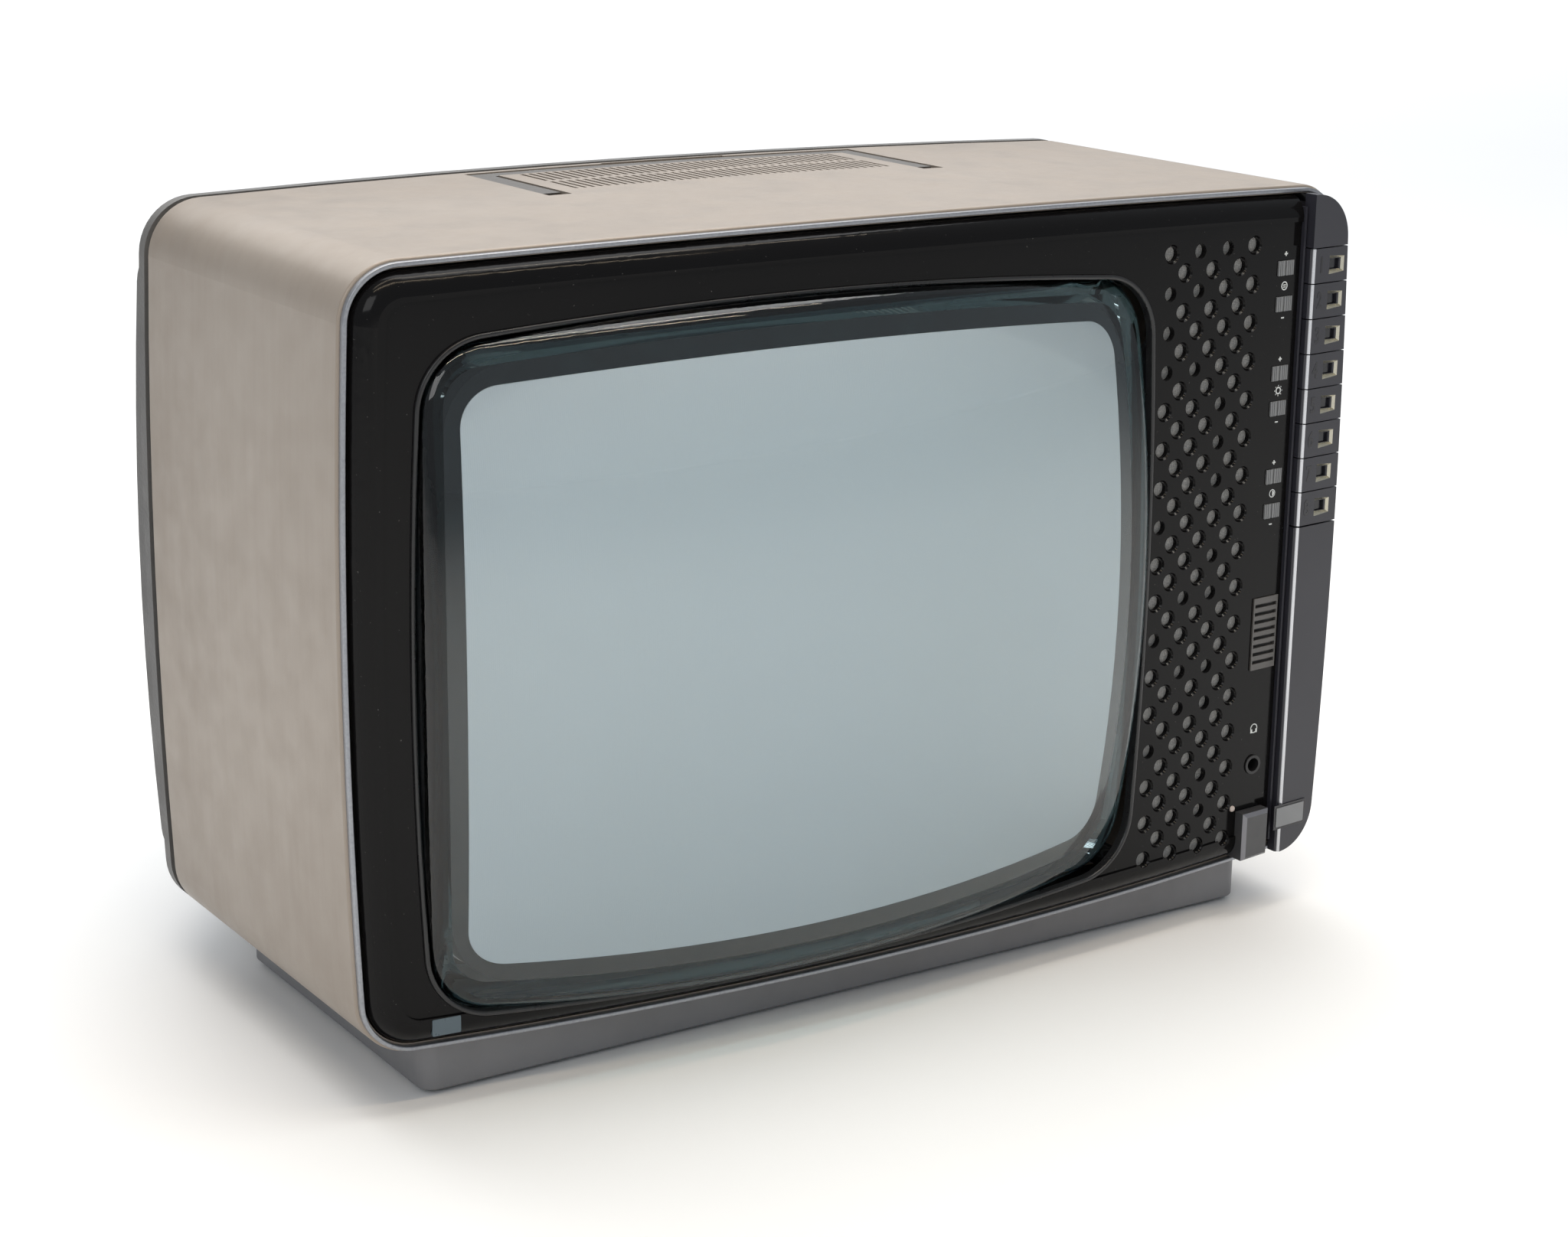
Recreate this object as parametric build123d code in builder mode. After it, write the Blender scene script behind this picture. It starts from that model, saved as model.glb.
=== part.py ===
from build123d import *
import os

# A portable colour television set with a 42 cm picture tube, as an assembly of its own pieces.
# The front faces -Y, +Z is up and the feet stand on Z = 0. "Depth" is millimetres behind the
# plane of the cabinet's front corners. The face follows one shallow curve, so most front pieces
# are cut by the same face curve at their own depth.

os.makedirs("parts", exist_ok=True)

# Cabinet
WIDTH = 488.0
HEIGHT = 312.0
WALL_BOW = 4.2
FACE_BOW = 12.7
CORNER_R = 24.0
WALL = 3.5
BASE_H = 26.0
SHELL_FRONT = 7.0
SHELL_BACK = 189.0
COVER_BACK = 352.5
GLASS_PROUD = 35.5
HALF_W = WIDTH / 2
MID_Z = BASE_H + HEIGHT / 2
FRONT_Y = GLASS_PROUD - (COVER_BACK + GLASS_PROUD) / 2
FIT = 0.1

# Bezel and its recessed face
BEZEL_INSET = 3.8
BEZEL_BACK = 22.0
BEZEL_WALL = 3.0
ROLL_R = 9.5
RECESS_INSET = 15.0
RECESS_DEPTH = 1.0
FACE_BACK = 4.0

# Picture tube
TUBE_X = -45.0
TUBE_Z = -8.5
GLASS_W, GLASS_H, GLASS_R = 341.0, 264.0, 28.0
GLASS_SIDE_BOW, GLASS_TOP_BOW = 5.0, 8.5
GLASS_T = 11.0
FACE_R = 685.0
PANEL_BACK = 42.0
SCREEN_W, SCREEN_H, SCREEN_R = 308.0, 228.0, 17.0
SCREEN_SIDE_BOW, SCREEN_TOP_BOW = 3.0, 7.1
GASKET_W = 1.9
EAR_X, EAR_Z, EAR_DEPTH = 171.3, 132.8, 12.0
NECK_R = 14.6
NECK_BACK = 320.0

# Speaker grille
GRILLE_X = 138.0
GRILLE_TOP = 133.3
GRILLE_PITCH_X = 16.7
GRILLE_PITCH_Z = 17.2
HOLE_R = 3.3
DIMPLE_R = 4.1

# Small controls left of the strip
PAD_X, PAD_W, PAD_H, PAD_TRAVEL = 208.0, 9.5, 6.6, 0.8
PAD_TOP, PAD_GROUP, PAD_PAIR = 121.6, 47.2, 16.0
SENSOR_X, SENSOR_Z, SENSOR_W, SENSOR_H = 207.5, -46.0, 15.5, 34.0
SOCKET_X, SOCKET_Z = 205.0, -109.0
LAMP_X, LAMP_Z = 193.6, -128.5
POWER_X, POWER_W, POWER_TOP = 204.5, 16.5, -130.5
POWER_PROUD, POWER_BACK = 5.5, 16.0

# Control strip: cap, eight keys and the tuning door
STRIP_X = 219.5
STRIP_INSET = 3.0
STRIP_PROUD = 5.0
STRIP_BACK = 2.0
POCKET_X = 217.0
FRAME_DEPTH = 6.0
FRAME_T = 2.0
KEY_COUNT = 8
KEY_TOP = 129.7
KEY_PITCH = 15.85
KEY_GAP = 0.5
WINDOW_X = 235.5
DOOR_TOP = KEY_TOP - KEY_COUNT * KEY_PITCH - KEY_GAP
HINGE_X, HINGE_DEPTH = 238.5, -0.8
HINGE_ZS = (-25.0, -115.0)
WHEEL_X, WHEEL_R, WHEEL_T, WHEEL_DEPTH = 228.0, 7.6, 5.0, 11.0
WHEEL_TOP, WHEEL_PITCH = -14.0, 16.2
BOARD_DEPTH = 25.0

# Top handle and vents
HANDLE_HALF = 100.0
ARM_W = 9.0
HANDLE_FRONT, HANDLE_BACK = 112.0, 184.0
HANDLE_PIVOT_DEPTH = 117.0
HANDLE_PIVOT_Z = HEIGHT / 2 - 3.6
HANDLE_T = 7.0
HANDLE_PIN_R = 1.6
HANDLE_SWING = 3.2
SLOT_COUNT, SLOT_PITCH = 41, 4.0

# Screws of the rear cover
SCREW_POINTS = ((-215, 126), (215, 126), (-215, -126), (215, -126), (-140, 136), (140, 136))


def front_plane(depth=0.0):
    """Upright plane facing the viewer, its origin in the middle of the cabinet's front."""
    return Plane(origin=(0, FRONT_Y + depth, MID_Z), x_dir=(1, 0, 0), z_dir=(0, -1, 0))


def face_y(x, depth=0.0):
    """Y of the bowed face at x, `depth` behind its surface."""
    return FRONT_Y + depth - FACE_BOW * (1 - (x / HALF_W) ** 2)


def bowed_outline(depth, size, bows, radius, centre=(0.0, 0.0)):
    """Rounded rectangle whose sides bow outwards, on the front plane at `depth`."""
    half_x, half_z = size[0] / 2, size[1] / 2
    side_bow, top_bow = bows
    left, right = centre[0] - half_x, centre[0] + half_x
    low, high = centre[1] - half_z, centre[1] + half_z
    with BuildSketch(front_plane(depth)) as outline:
        with BuildLine():
            ThreePointArc((left, low), (centre[0], low - top_bow), (right, low))
            ThreePointArc((right, low), (right + side_bow, centre[1]), (right, high))
            ThreePointArc((right, high), (centre[0], high + top_bow), (left, high))
            ThreePointArc((left, high), (left - side_bow, centre[1]), (left, low))
        make_face()
        fillet(outline.vertices(), radius)
    return outline.sketch


def cabinet_outline(inset, depth):
    """The cabinet's front outline, moved inwards by `inset`."""
    size = (WIDTH - 2 * inset, HEIGHT - 2 * inset)
    return bowed_outline(depth, size, (WALL_BOW, WALL_BOW), max(CORNER_R - inset, 3.0))


def glass_outline(grow, depth):
    """The tube's glass outline, grown by `grow`."""
    size = (GLASS_W + 2 * grow, GLASS_H + 2 * grow)
    bows = (GLASS_SIDE_BOW, GLASS_TOP_BOW)
    return bowed_outline(depth, size, bows, max(GLASS_R + grow, 6.0), (TUBE_X, TUBE_Z))


def face_band(front_depth, back_depth):
    """Plan view between two curves that both follow the bowed face."""
    reach = 262.0
    with BuildSketch(Plane.XY) as band:
        with BuildLine():
            front = ThreePointArc(
                (-reach, face_y(reach, front_depth)),
                (0, face_y(0, front_depth)),
                (reach, face_y(reach, front_depth)),
            )
            back = ThreePointArc(
                (-reach, face_y(reach, back_depth)),
                (0, face_y(0, back_depth)),
                (reach, face_y(reach, back_depth)),
            )
            Line(front @ 0, back @ 0)
            Line(front @ 1, back @ 1)
        make_face()
    return band.sketch


def rectangle_at(depth, x, z, width, height):
    """Rectangle centred on (x, z) of the front plane at `depth`."""
    with BuildSketch(front_plane(depth)) as sketch:
        with Locations((x, z)):
            Rectangle(width, height)
    return sketch.sketch


def circles_at(depth, points, radius):
    """Circles centred on points of the front plane at `depth`."""
    with BuildSketch(front_plane(depth)) as sketch:
        with Locations(*points):
            Circle(radius)
    return sketch.sketch


def face_depth(x, depth=0.0):
    """Depth of the bowed face at x, for sketches that start on a flat plane."""
    return face_y(x, depth) - FRONT_Y


def handle_outline(height, grow):
    """Plan view of the handle's U at `height`, grown by `grow` and open towards the front."""
    front = HANDLE_FRONT - (HANDLE_SWING if grow else 0.0)
    length = HANDLE_BACK + grow - front
    inner_length = length - ARM_W - 2 * grow
    with BuildSketch(Plane.XY.offset(height)) as outline:
        with Locations((0, FRONT_Y + front + length / 2)):
            Rectangle(2 * (HANDLE_HALF + grow), length)
        with Locations((0, FRONT_Y + front + inner_length / 2 - 5)):
            Rectangle(2 * (HANDLE_HALF - ARM_W - grow), inner_length + 10, mode=Mode.SUBTRACT)
    return outline.sketch


def save(piece, name):
    """Label one finished piece and write its STEP file."""
    piece.part.label = name
    export_step(piece.part, f"parts/{name}.step")


TALL = BASE_H + HEIGHT + 60

# ---------------------------------------------------------------- cabinet shell and front trim

with BuildPart() as cabinet_shell:
    extrude(cabinet_outline(0, SHELL_BACK), amount=SHELL_BACK + 20)
    extrude(cabinet_outline(WALL, SHELL_BACK), amount=SHELL_BACK + 20, mode=Mode.SUBTRACT)
    extrude(face_band(SHELL_FRONT, 400), amount=TALL, mode=Mode.INTERSECT)
    fillet(cabinet_shell.faces().sort_by(Axis.Y)[0].outer_wire().edges(), 1.2)
    # two rows of fine vents between the handle's arms
    with BuildSketch(Plane.XY.offset(BASE_H + HEIGHT - 8)) as vents:
        with Locations((0, FRONT_Y + 147)):
            with GridLocations(SLOT_PITCH, 27.0, SLOT_COUNT, 2):
                Rectangle(1.7, 23.0)
    extrude(amount=20, mode=Mode.SUBTRACT)
    # U-shaped opening in which the handle lies flush, with a finger notch behind it
    extrude(handle_outline(BASE_H + HEIGHT - 8, 1.0), amount=20, mode=Mode.SUBTRACT)
    with BuildSketch(Plane.XY.offset(BASE_H + HEIGHT - 8)):
        with Locations((0, FRONT_Y + HANDLE_BACK + 1)):
            Rectangle(64, 4)
    extrude(amount=20, mode=Mode.SUBTRACT)
    # posts that take the rear cover's screws, each on a web from the nearest wall
    for post_x, post_z in SCREW_POINTS:
        extrude(circles_at(SHELL_BACK, [(post_x, post_z)], 5.5), amount=24)
        to_side = abs(post_x) > 200
        web_x = post_x + (14 if post_x > 0 else -14) if to_side else post_x
        web_z = post_z if to_side else post_z + 10.5
        web_size = (28, 3) if to_side else (3, 22)
        extrude(rectangle_at(SHELL_BACK, web_x, web_z, *web_size), amount=24)
    extrude(circles_at(SHELL_BACK, SCREW_POINTS, 2.2), amount=16, mode=Mode.SUBTRACT)
save(cabinet_shell, "cabinet_shell")

with BuildPart() as front_trim:
    extrude(cabinet_outline(1.1, SHELL_FRONT + 1), amount=40)
    extrude(cabinet_outline(2.9, SHELL_FRONT + 1), amount=40, mode=Mode.SUBTRACT)
    extrude(face_band(4.4, SHELL_FRONT - 0.05), amount=TALL, mode=Mode.INTERSECT)
    trim_front = front_trim.faces().sort_by(Axis.Y)[0]
    fillet(trim_front.edges(), 0.6)
save(front_trim, "front_trim")

# ---------------------------------------------------------------- bezel

bezel_holes = [
    (GRILLE_X + column * GRILLE_PITCH_X / 2, GRILLE_TOP - (column % 2) * GRILLE_PITCH_Z / 2, 17 - column % 2)
    for column in range(7)
]

with BuildPart() as bezel_hollow:
    extrude(cabinet_outline(BEZEL_INSET + BEZEL_WALL, BEZEL_BACK + 1), amount=60)
    extrude(face_band(FACE_BACK, 60), amount=TALL, mode=Mode.INTERSECT)
    fillet(bezel_hollow.faces().sort_by(Axis.Y)[0].edges(), 5.0)

with BuildPart() as face_recess:
    extrude(cabinet_outline(RECESS_INSET, 20), amount=60)
    extrude(face_band(-20, RECESS_DEPTH), amount=TALL, mode=Mode.INTERSECT)
    extrude(rectangle_at(60, POCKET_X + 60, 0, 120, 400), amount=120, mode=Mode.SUBTRACT)

with BuildPart() as strip_pocket:
    extrude(rectangle_at(60, POCKET_X + 60, 0, 120, 400), amount=120)
    extrude(face_band(-20, 8.6), amount=TALL, mode=Mode.INTERSECT)

with BuildPart() as front_bezel:
    extrude(cabinet_outline(BEZEL_INSET, BEZEL_BACK), amount=60)
    extrude(face_band(0, 60), amount=TALL, mode=Mode.INTERSECT)
    fillet(front_bezel.faces().sort_by(Axis.Y)[0].edges(), ROLL_R)
    add(bezel_hollow.part, mode=Mode.SUBTRACT)
    add(face_recess.part, mode=Mode.SUBTRACT)
    add(strip_pocket.part, mode=Mode.SUBTRACT)
    # wall beside the control strip
    extrude(rectangle_at(BEZEL_BACK, POCKET_X - 1.2, 0, 2.4, HEIGHT - 16), amount=BEZEL_BACK - 1)
    # posts that the tube's ears are screwed to
    for ear_x in (TUBE_X - EAR_X, TUBE_X + EAR_X):
        post_front = face_depth(ear_x, 2.5)
        for ear_z in (TUBE_Z - EAR_Z, TUBE_Z + EAR_Z):
            extrude(circles_at(EAR_DEPTH - FIT, [(ear_x, ear_z)], 5.5), amount=EAR_DEPTH - post_front)
            extrude(
                circles_at(EAR_DEPTH, [(ear_x, ear_z)], 2.6),
                amount=EAR_DEPTH - post_front - 2,
                mode=Mode.SUBTRACT,
            )
    # opening for the tube, with its gasket
    extrude(glass_outline(GASKET_W + 2 * FIT, 30), amount=80, mode=Mode.SUBTRACT)
    # round grille holes, each with a dished rim
    for hole_x, top_z, rows in bezel_holes:
        points = [(hole_x, top_z - row * GRILLE_PITCH_Z) for row in range(rows)]
        rim = face_depth(hole_x, RECESS_DEPTH)
        extrude(circles_at(rim + 8, points, HOLE_R), amount=16, mode=Mode.SUBTRACT)
        extrude(circles_at(rim - 0.4, points, DIMPLE_R + 0.4), amount=-1.4, taper=35, mode=Mode.SUBTRACT)
    # openings for the small controls
    for group in range(3):
        for pair in range(2):
            pad_z = PAD_TOP - group * PAD_GROUP - pair * PAD_PAIR
            extrude(rectangle_at(12, PAD_X, pad_z, PAD_W + 0.5, PAD_H + 0.5), amount=30, mode=Mode.SUBTRACT)
    extrude(
        rectangle_at(12, SENSOR_X, SENSOR_Z, SENSOR_W + FIT * 2, SENSOR_H + FIT * 2),
        amount=30,
        mode=Mode.SUBTRACT,
    )
    extrude(circles_at(12, [(SOCKET_X, SOCKET_Z)], 4.6), amount=30, mode=Mode.SUBTRACT)
    extrude(circles_at(12, [(LAMP_X, LAMP_Z)], 1.6), amount=30, mode=Mode.SUBTRACT)
    extrude(
        rectangle_at(BEZEL_BACK + 1, POWER_X, POWER_TOP - 20, POWER_W + 0.6, 40.6),
        amount=60,
        mode=Mode.SUBTRACT,
    )
save(front_bezel, "front_bezel")

with BuildPart() as screen_gasket:
    extrude(glass_outline(GASKET_W + FIT, 20), amount=60)
    extrude(glass_outline(FIT, 20), amount=60, mode=Mode.SUBTRACT)
    extrude(face_band(-0.5, FACE_BACK), amount=TALL, mode=Mode.INTERSECT)
    fillet(screen_gasket.faces().sort_by(Axis.Y)[0].edges(), 0.8)
save(screen_gasket, "screen_gasket")

with BuildPart() as grille_cloth:
    extrude(rectangle_at(20, GRILLE_X + 24.4, -4.3, 58.8, 286), amount=60)
    extrude(face_band(FACE_BACK + FIT, FACE_BACK + 1.3), amount=TALL, mode=Mode.INTERSECT)
save(grille_cloth, "grille_cloth")

# ---------------------------------------------------------------- small fixed controls

with BuildPart() as sensor_grille:
    extrude(rectangle_at(20, SENSOR_X, SENSOR_Z, SENSOR_W, SENSOR_H), amount=60)
    extrude(face_band(0.2, 6.0), amount=TALL, mode=Mode.INTERSECT)
    slots = [(SENSOR_X, SENSOR_Z + (slot - 3.5) * 3.8) for slot in range(8)]
    with BuildSketch(front_plane(face_depth(SENSOR_X, 2.6))) as sensor_slots:
        with Locations(*slots):
            Rectangle(SENSOR_W - 1.6, 1.7)
    extrude(amount=10, mode=Mode.SUBTRACT)
save(sensor_grille, "sensor_grille")

with BuildPart() as headphone_socket:
    socket_front = face_depth(SOCKET_X, RECESS_DEPTH)
    extrude(circles_at(socket_front + 4.0, [(SOCKET_X, SOCKET_Z)], 4.5), amount=5.0)
    extrude(rectangle_at(24.0, SOCKET_X, SOCKET_Z, 13, 13), amount=24.0 - socket_front - 3.9)
    extrude(circles_at(22.5, [(SOCKET_X, SOCKET_Z)], 3.2), amount=40, mode=Mode.SUBTRACT)
save(headphone_socket, "headphone_socket")

with BuildPart() as standby_lamp:
    lamp_face = face_depth(LAMP_X, RECESS_DEPTH)
    extrude(circles_at(lamp_face + 6, [(LAMP_X, LAMP_Z)], 1.5), amount=6.8)
    fillet(standby_lamp.faces().sort_by(Axis.Y)[0].edges(), 0.9)
save(standby_lamp, "standby_lamp")

# ---------------------------------------------------------------- push pads and power button

pad_names = ("volume_up", "volume_down", "brightness_up", "brightness_down", "colour_up", "colour_down")
for index, pad_name in enumerate(pad_names):
    pad_z = PAD_TOP - (index // 2) * PAD_GROUP - (index % 2) * PAD_PAIR
    with BuildPart() as pad:
        extrude(rectangle_at(20, PAD_X, pad_z, PAD_W, PAD_H), amount=60)
        extrude(face_band(0.3, 6.6), amount=TALL, mode=Mode.INTERSECT)
        # one wide groove that parts the pad in two, and fine ones that rib each half
        with BuildSketch(front_plane(face_depth(PAD_X, 0.85))) as grooves:
            with Locations((PAD_X - 0.5, pad_z)):
                Rectangle(1.1, PAD_H + 1)
            with Locations(*[(PAD_X + rib, pad_z) for rib in (-3.7, -2.5, 1.4, 2.6, 3.8)]):
                Rectangle(0.35, PAD_H + 1)
        extrude(amount=5, mode=Mode.SUBTRACT)
        # flange that stops the pad behind the face
        extrude(rectangle_at(face_depth(PAD_X, 6.6), PAD_X, pad_z, PAD_W + 2, PAD_H + 2), amount=1.6)
        extrude(rectangle_at(7.4, PAD_X, pad_z, 4, 4), amount=7.4 - face_depth(PAD_X, 6.0))
    save(pad, f"{pad_name}_pad")

with BuildPart() as power_button:
    extrude(cabinet_outline(BEZEL_INSET + 0.4, POWER_BACK), amount=60)
    extrude(
        rectangle_at(POWER_BACK, POWER_X, POWER_TOP - 20, POWER_W, 40),
        amount=60,
        mode=Mode.INTERSECT,
    )
    extrude(face_band(-POWER_PROUD, 60), amount=TALL, mode=Mode.INTERSECT)
    chamfer(power_button.faces().sort_by(Axis.Y)[0].edges(), 1.6)
save(power_button, "power_button")

# ---------------------------------------------------------------- control strip


def key_middle(index):
    """Height of the middle of programme key `index`, counted from 0 at the top."""
    return KEY_TOP - (index + 0.5) * KEY_PITCH


with BuildPart() as strip_bar:
    extrude(cabinet_outline(STRIP_INSET, 20), amount=60)
    extrude(rectangle_at(20, STRIP_X + 50, 0, 100, 400), amount=60, mode=Mode.INTERSECT)
    extrude(face_band(-STRIP_PROUD, STRIP_BACK), amount=TALL, mode=Mode.INTERSECT)

with BuildPart() as strip_cap:
    # closed piece above the keys, with a block that ties it to the frame
    add(strip_bar.part)
    cap_low = KEY_TOP + KEY_GAP / 2
    extrude(rectangle_at(20, STRIP_X + 50, cap_low + 50, 100, 100), amount=60, mode=Mode.INTERSECT)
    extrude(rectangle_at(FRAME_DEPTH + 1, STRIP_X + 8, cap_low + 9, 12, 14), amount=FRAME_DEPTH + 1)

with BuildPart() as wheel_holder:
    # two cheeks that carry the spindles of the tuning wheels
    cheek_mid = WHEEL_TOP - 3.5 * WHEEL_PITCH
    for cheek_x in (WHEEL_X - 4.0, WHEEL_X + 4.0):
        extrude(rectangle_at(17.0, cheek_x, cheek_mid, 1.8, 8 * WHEEL_PITCH + 4), amount=11.8)
    for index in range(KEY_COUNT):
        wheel_z = WHEEL_TOP - index * WHEEL_PITCH
        with Locations(Plane(front_plane(WHEEL_DEPTH).from_local_coords((WHEEL_X, wheel_z, 0)), z_dir=(1, 0, 0))):
            Cylinder(1.35, 20, mode=Mode.SUBTRACT)

with BuildPart() as control_frame:
    # back plate of the strip, inside the bezel's pocket
    extrude(cabinet_outline(BEZEL_INSET + BEZEL_WALL + 0.3, 20), amount=60)
    extrude(rectangle_at(20, POCKET_X + 50.3, 0, 100, 400), amount=60, mode=Mode.INTERSECT)
    extrude(face_band(FRAME_DEPTH, FRAME_DEPTH + FRAME_T), amount=TALL, mode=Mode.INTERSECT)
    add(wheel_holder.part)
    # wall that shows as a thin line between the face and the strip
    with BuildSketch(front_plane(FRAME_DEPTH)):
        with Locations((POCKET_X + 0.9, 0)):
            Rectangle(1.2, 2 * (HEIGHT / 2 - 8))
    extrude(amount=FRAME_DEPTH + 3.4)
    add(strip_cap.part)
    # hollow that the door's outer edge swings through
    with BuildSketch(Plane.XY.offset(MID_Z - HEIGHT / 2)):
        with Locations((HINGE_X, face_y(HINGE_X, HINGE_DEPTH))):
            Circle(7.7)
    extrude(amount=HEIGHT / 2 + DOOR_TOP + 0.3, mode=Mode.SUBTRACT)
    # openings behind the keys and the wheels
    for index in range(KEY_COUNT):
        key_z = key_middle(index)
        extrude(rectangle_at(20, STRIP_X + 6, key_z, 6, 6), amount=40, mode=Mode.SUBTRACT)
        wheel_z = WHEEL_TOP - index * WHEEL_PITCH
        extrude(rectangle_at(8.7, WHEEL_X, wheel_z, WHEEL_T + 1, 13.4), amount=8, mode=Mode.SUBTRACT)
    # eyes for the door's pins
    for hinge_z in HINGE_ZS:
        eye_depth = face_depth(HINGE_X, HINGE_DEPTH)
        with BuildSketch(Plane.XY.offset(MID_Z + hinge_z - 2)) as eye:
            with Locations((HINGE_X, FRONT_Y + eye_depth)):
                Circle(2.0)
            with Locations((HINGE_X, FRONT_Y + (eye_depth + FRAME_DEPTH) / 2 + 0.7)):
                Rectangle(2.6, FRAME_DEPTH - eye_depth + 2.0)
            with Locations((HINGE_X, FRONT_Y + eye_depth)):
                Circle(1.05, mode=Mode.SUBTRACT)
        extrude(amount=4)
save(control_frame, "control_frame")

for index in range(KEY_COUNT):
    key_z = key_middle(index)
    with BuildPart() as key:
        add(strip_bar.part)
        extrude(
            rectangle_at(20, STRIP_X + 50, key_z, 100.1, KEY_PITCH - KEY_GAP),
            amount=60,
            mode=Mode.INTERSECT,
        )
        # bright bevel down the left edge, softer edge on the right
        front_face = key.faces().sort_by(Axis.Y)[0]
        chamfer(front_face.edges().filter_by(Axis.Z, tolerance=2).sort_by(Axis.X)[0], 1.9)
        # framed window, open right through
        window_depth = face_depth(WINDOW_X, -STRIP_PROUD)
        extrude(
            rectangle_at(window_depth - 0.5, WINDOW_X, key_z, 11.0, 8.4),
            amount=-2.2,
            taper=38,
            mode=Mode.SUBTRACT,
        )
        extrude(rectangle_at(20, WINDOW_X, key_z, 5.4, 4.6), amount=60, mode=Mode.SUBTRACT)
        # stem that presses the switch
        stem_x = STRIP_X + 6
        extrude(rectangle_at(21.5, stem_x, key_z, 5, 5), amount=21.5 - face_depth(stem_x, 0))
    save(key, f"program_key_{index + 1}")

with BuildPart() as program_lamps:
    lamp_points = [(WINDOW_X, key_middle(index)) for index in range(KEY_COUNT)]
    extrude(circles_at(face_depth(WINDOW_X, FRAME_DEPTH - 0.4), lamp_points, 1.5), amount=1.7)
save(program_lamps, "program_lamps")

with BuildPart() as door_hollow:
    extrude(cabinet_outline(STRIP_INSET + 1.5, 20), amount=60)
    extrude(rectangle_at(20, STRIP_X + 51.5, DOOR_TOP - 101.5, 100, 200), amount=60, mode=Mode.INTERSECT)
    extrude(face_band(3.4 - STRIP_PROUD - 1.6, 20), amount=TALL, mode=Mode.INTERSECT)

with BuildPart() as tuning_door:
    add(strip_bar.part)
    extrude(rectangle_at(20, STRIP_X + 50, DOOR_TOP - 100, 100.1, 200), amount=60, mode=Mode.INTERSECT)
    door_face = tuning_door.faces().sort_by(Axis.Y)[0]
    chamfer(door_face.edges().filter_by(Axis.Z, tolerance=2).sort_by(Axis.X)[0], 1.9)
    add(door_hollow.part, mode=Mode.SUBTRACT)
    extrude(face_band(1.4, 20), amount=TALL, mode=Mode.SUBTRACT)
    pin_y = face_y(HINGE_X, HINGE_DEPTH)
    for hinge_z in HINGE_ZS:
        # the side wall stops short of the frame's arm
        with BuildSketch(Plane.XY.offset(MID_Z + hinge_z - 3)) as arm_gap:
            with Locations((HINGE_X + 6, pin_y + 6.0)):
                Rectangle(16, 16)
        extrude(amount=6, mode=Mode.SUBTRACT)
        # knuckle above the eye, with its pin
        with BuildSketch(Plane.XY.offset(MID_Z + hinge_z + 2.3)) as knuckle:
            with Locations((HINGE_X, pin_y)):
                Circle(1.9)
            with Locations((HINGE_X, pin_y - 2.0)):
                Rectangle(3.8, 3.2)
        extrude(amount=5)
        with Locations((HINGE_X, pin_y, MID_Z + hinge_z + 0.6)):
            Cylinder(1.0, 4.4)
save(tuning_door, "tuning_door")

for index in range(KEY_COUNT):
    wheel_z = WHEEL_TOP - index * WHEEL_PITCH
    wheel_plane = Plane(
        origin=(WHEEL_X, FRONT_Y + WHEEL_DEPTH, MID_Z + wheel_z), x_dir=(0, 1, 0), z_dir=(1, 0, 0)
    )
    with BuildPart() as wheel:
        with BuildSketch(wheel_plane.offset(-WHEEL_T / 2)):
            Circle(WHEEL_R - 0.4)
            with PolarLocations(WHEEL_R - 0.45, 24):
                Rectangle(0.9, 1.2)
        extrude(amount=WHEEL_T)
        with BuildSketch(wheel_plane.offset(-WHEEL_T / 2 - 2.2)):
            Circle(1.3)
        extrude(amount=WHEEL_T + 4.4)
    save(wheel, f"tuning_wheel_{index + 1}")

with BuildPart() as control_board:
    extrude(rectangle_at(BOARD_DEPTH + 1.6, 213, 0, 42, 284), amount=1.6)
    for index in range(6):
        pad_z = PAD_TOP - (index // 2) * PAD_GROUP - (index % 2) * PAD_PAIR
        extrude(rectangle_at(BOARD_DEPTH, PAD_X, pad_z, 6, 6), amount=BOARD_DEPTH - 8.5)
    for index in range(KEY_COUNT):
        extrude(rectangle_at(BOARD_DEPTH, STRIP_X + 6, key_middle(index), 6, 6), amount=1.7)
save(control_board, "control_board")

# ---------------------------------------------------------------- picture tube

face_centre = (TUBE_X, FRONT_Y - GLASS_PROUD + FACE_R, MID_Z + TUBE_Z)

with BuildPart() as panel_cavity:
    extrude(glass_outline(-GLASS_T, PANEL_BACK + 1), amount=120)
    with Locations(face_centre):
        Sphere(FACE_R - GLASS_T, mode=Mode.INTERSECT)

with BuildPart() as tube_panel:
    extrude(glass_outline(0, PANEL_BACK), amount=120)
    with Locations(face_centre):
        Sphere(FACE_R, mode=Mode.INTERSECT)
    fillet(tube_panel.faces().sort_by(Axis.Y)[0].edges(), 8.0)
    add(panel_cavity.part, mode=Mode.SUBTRACT)
save(tube_panel, "tube_panel")

with BuildPart() as phosphor_screen:
    screen_size = (SCREEN_W, SCREEN_H)
    screen_bows = (SCREEN_SIDE_BOW, SCREEN_TOP_BOW)
    extrude(bowed_outline(30, screen_size, screen_bows, SCREEN_R, (TUBE_X, TUBE_Z)), amount=120)
    with Locations(face_centre):
        Sphere(FACE_R - GLASS_T - FIT, mode=Mode.INTERSECT)
        Sphere(FACE_R - GLASS_T - FIT - 0.5, mode=Mode.SUBTRACT)
save(phosphor_screen, "phosphor_screen")

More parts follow.
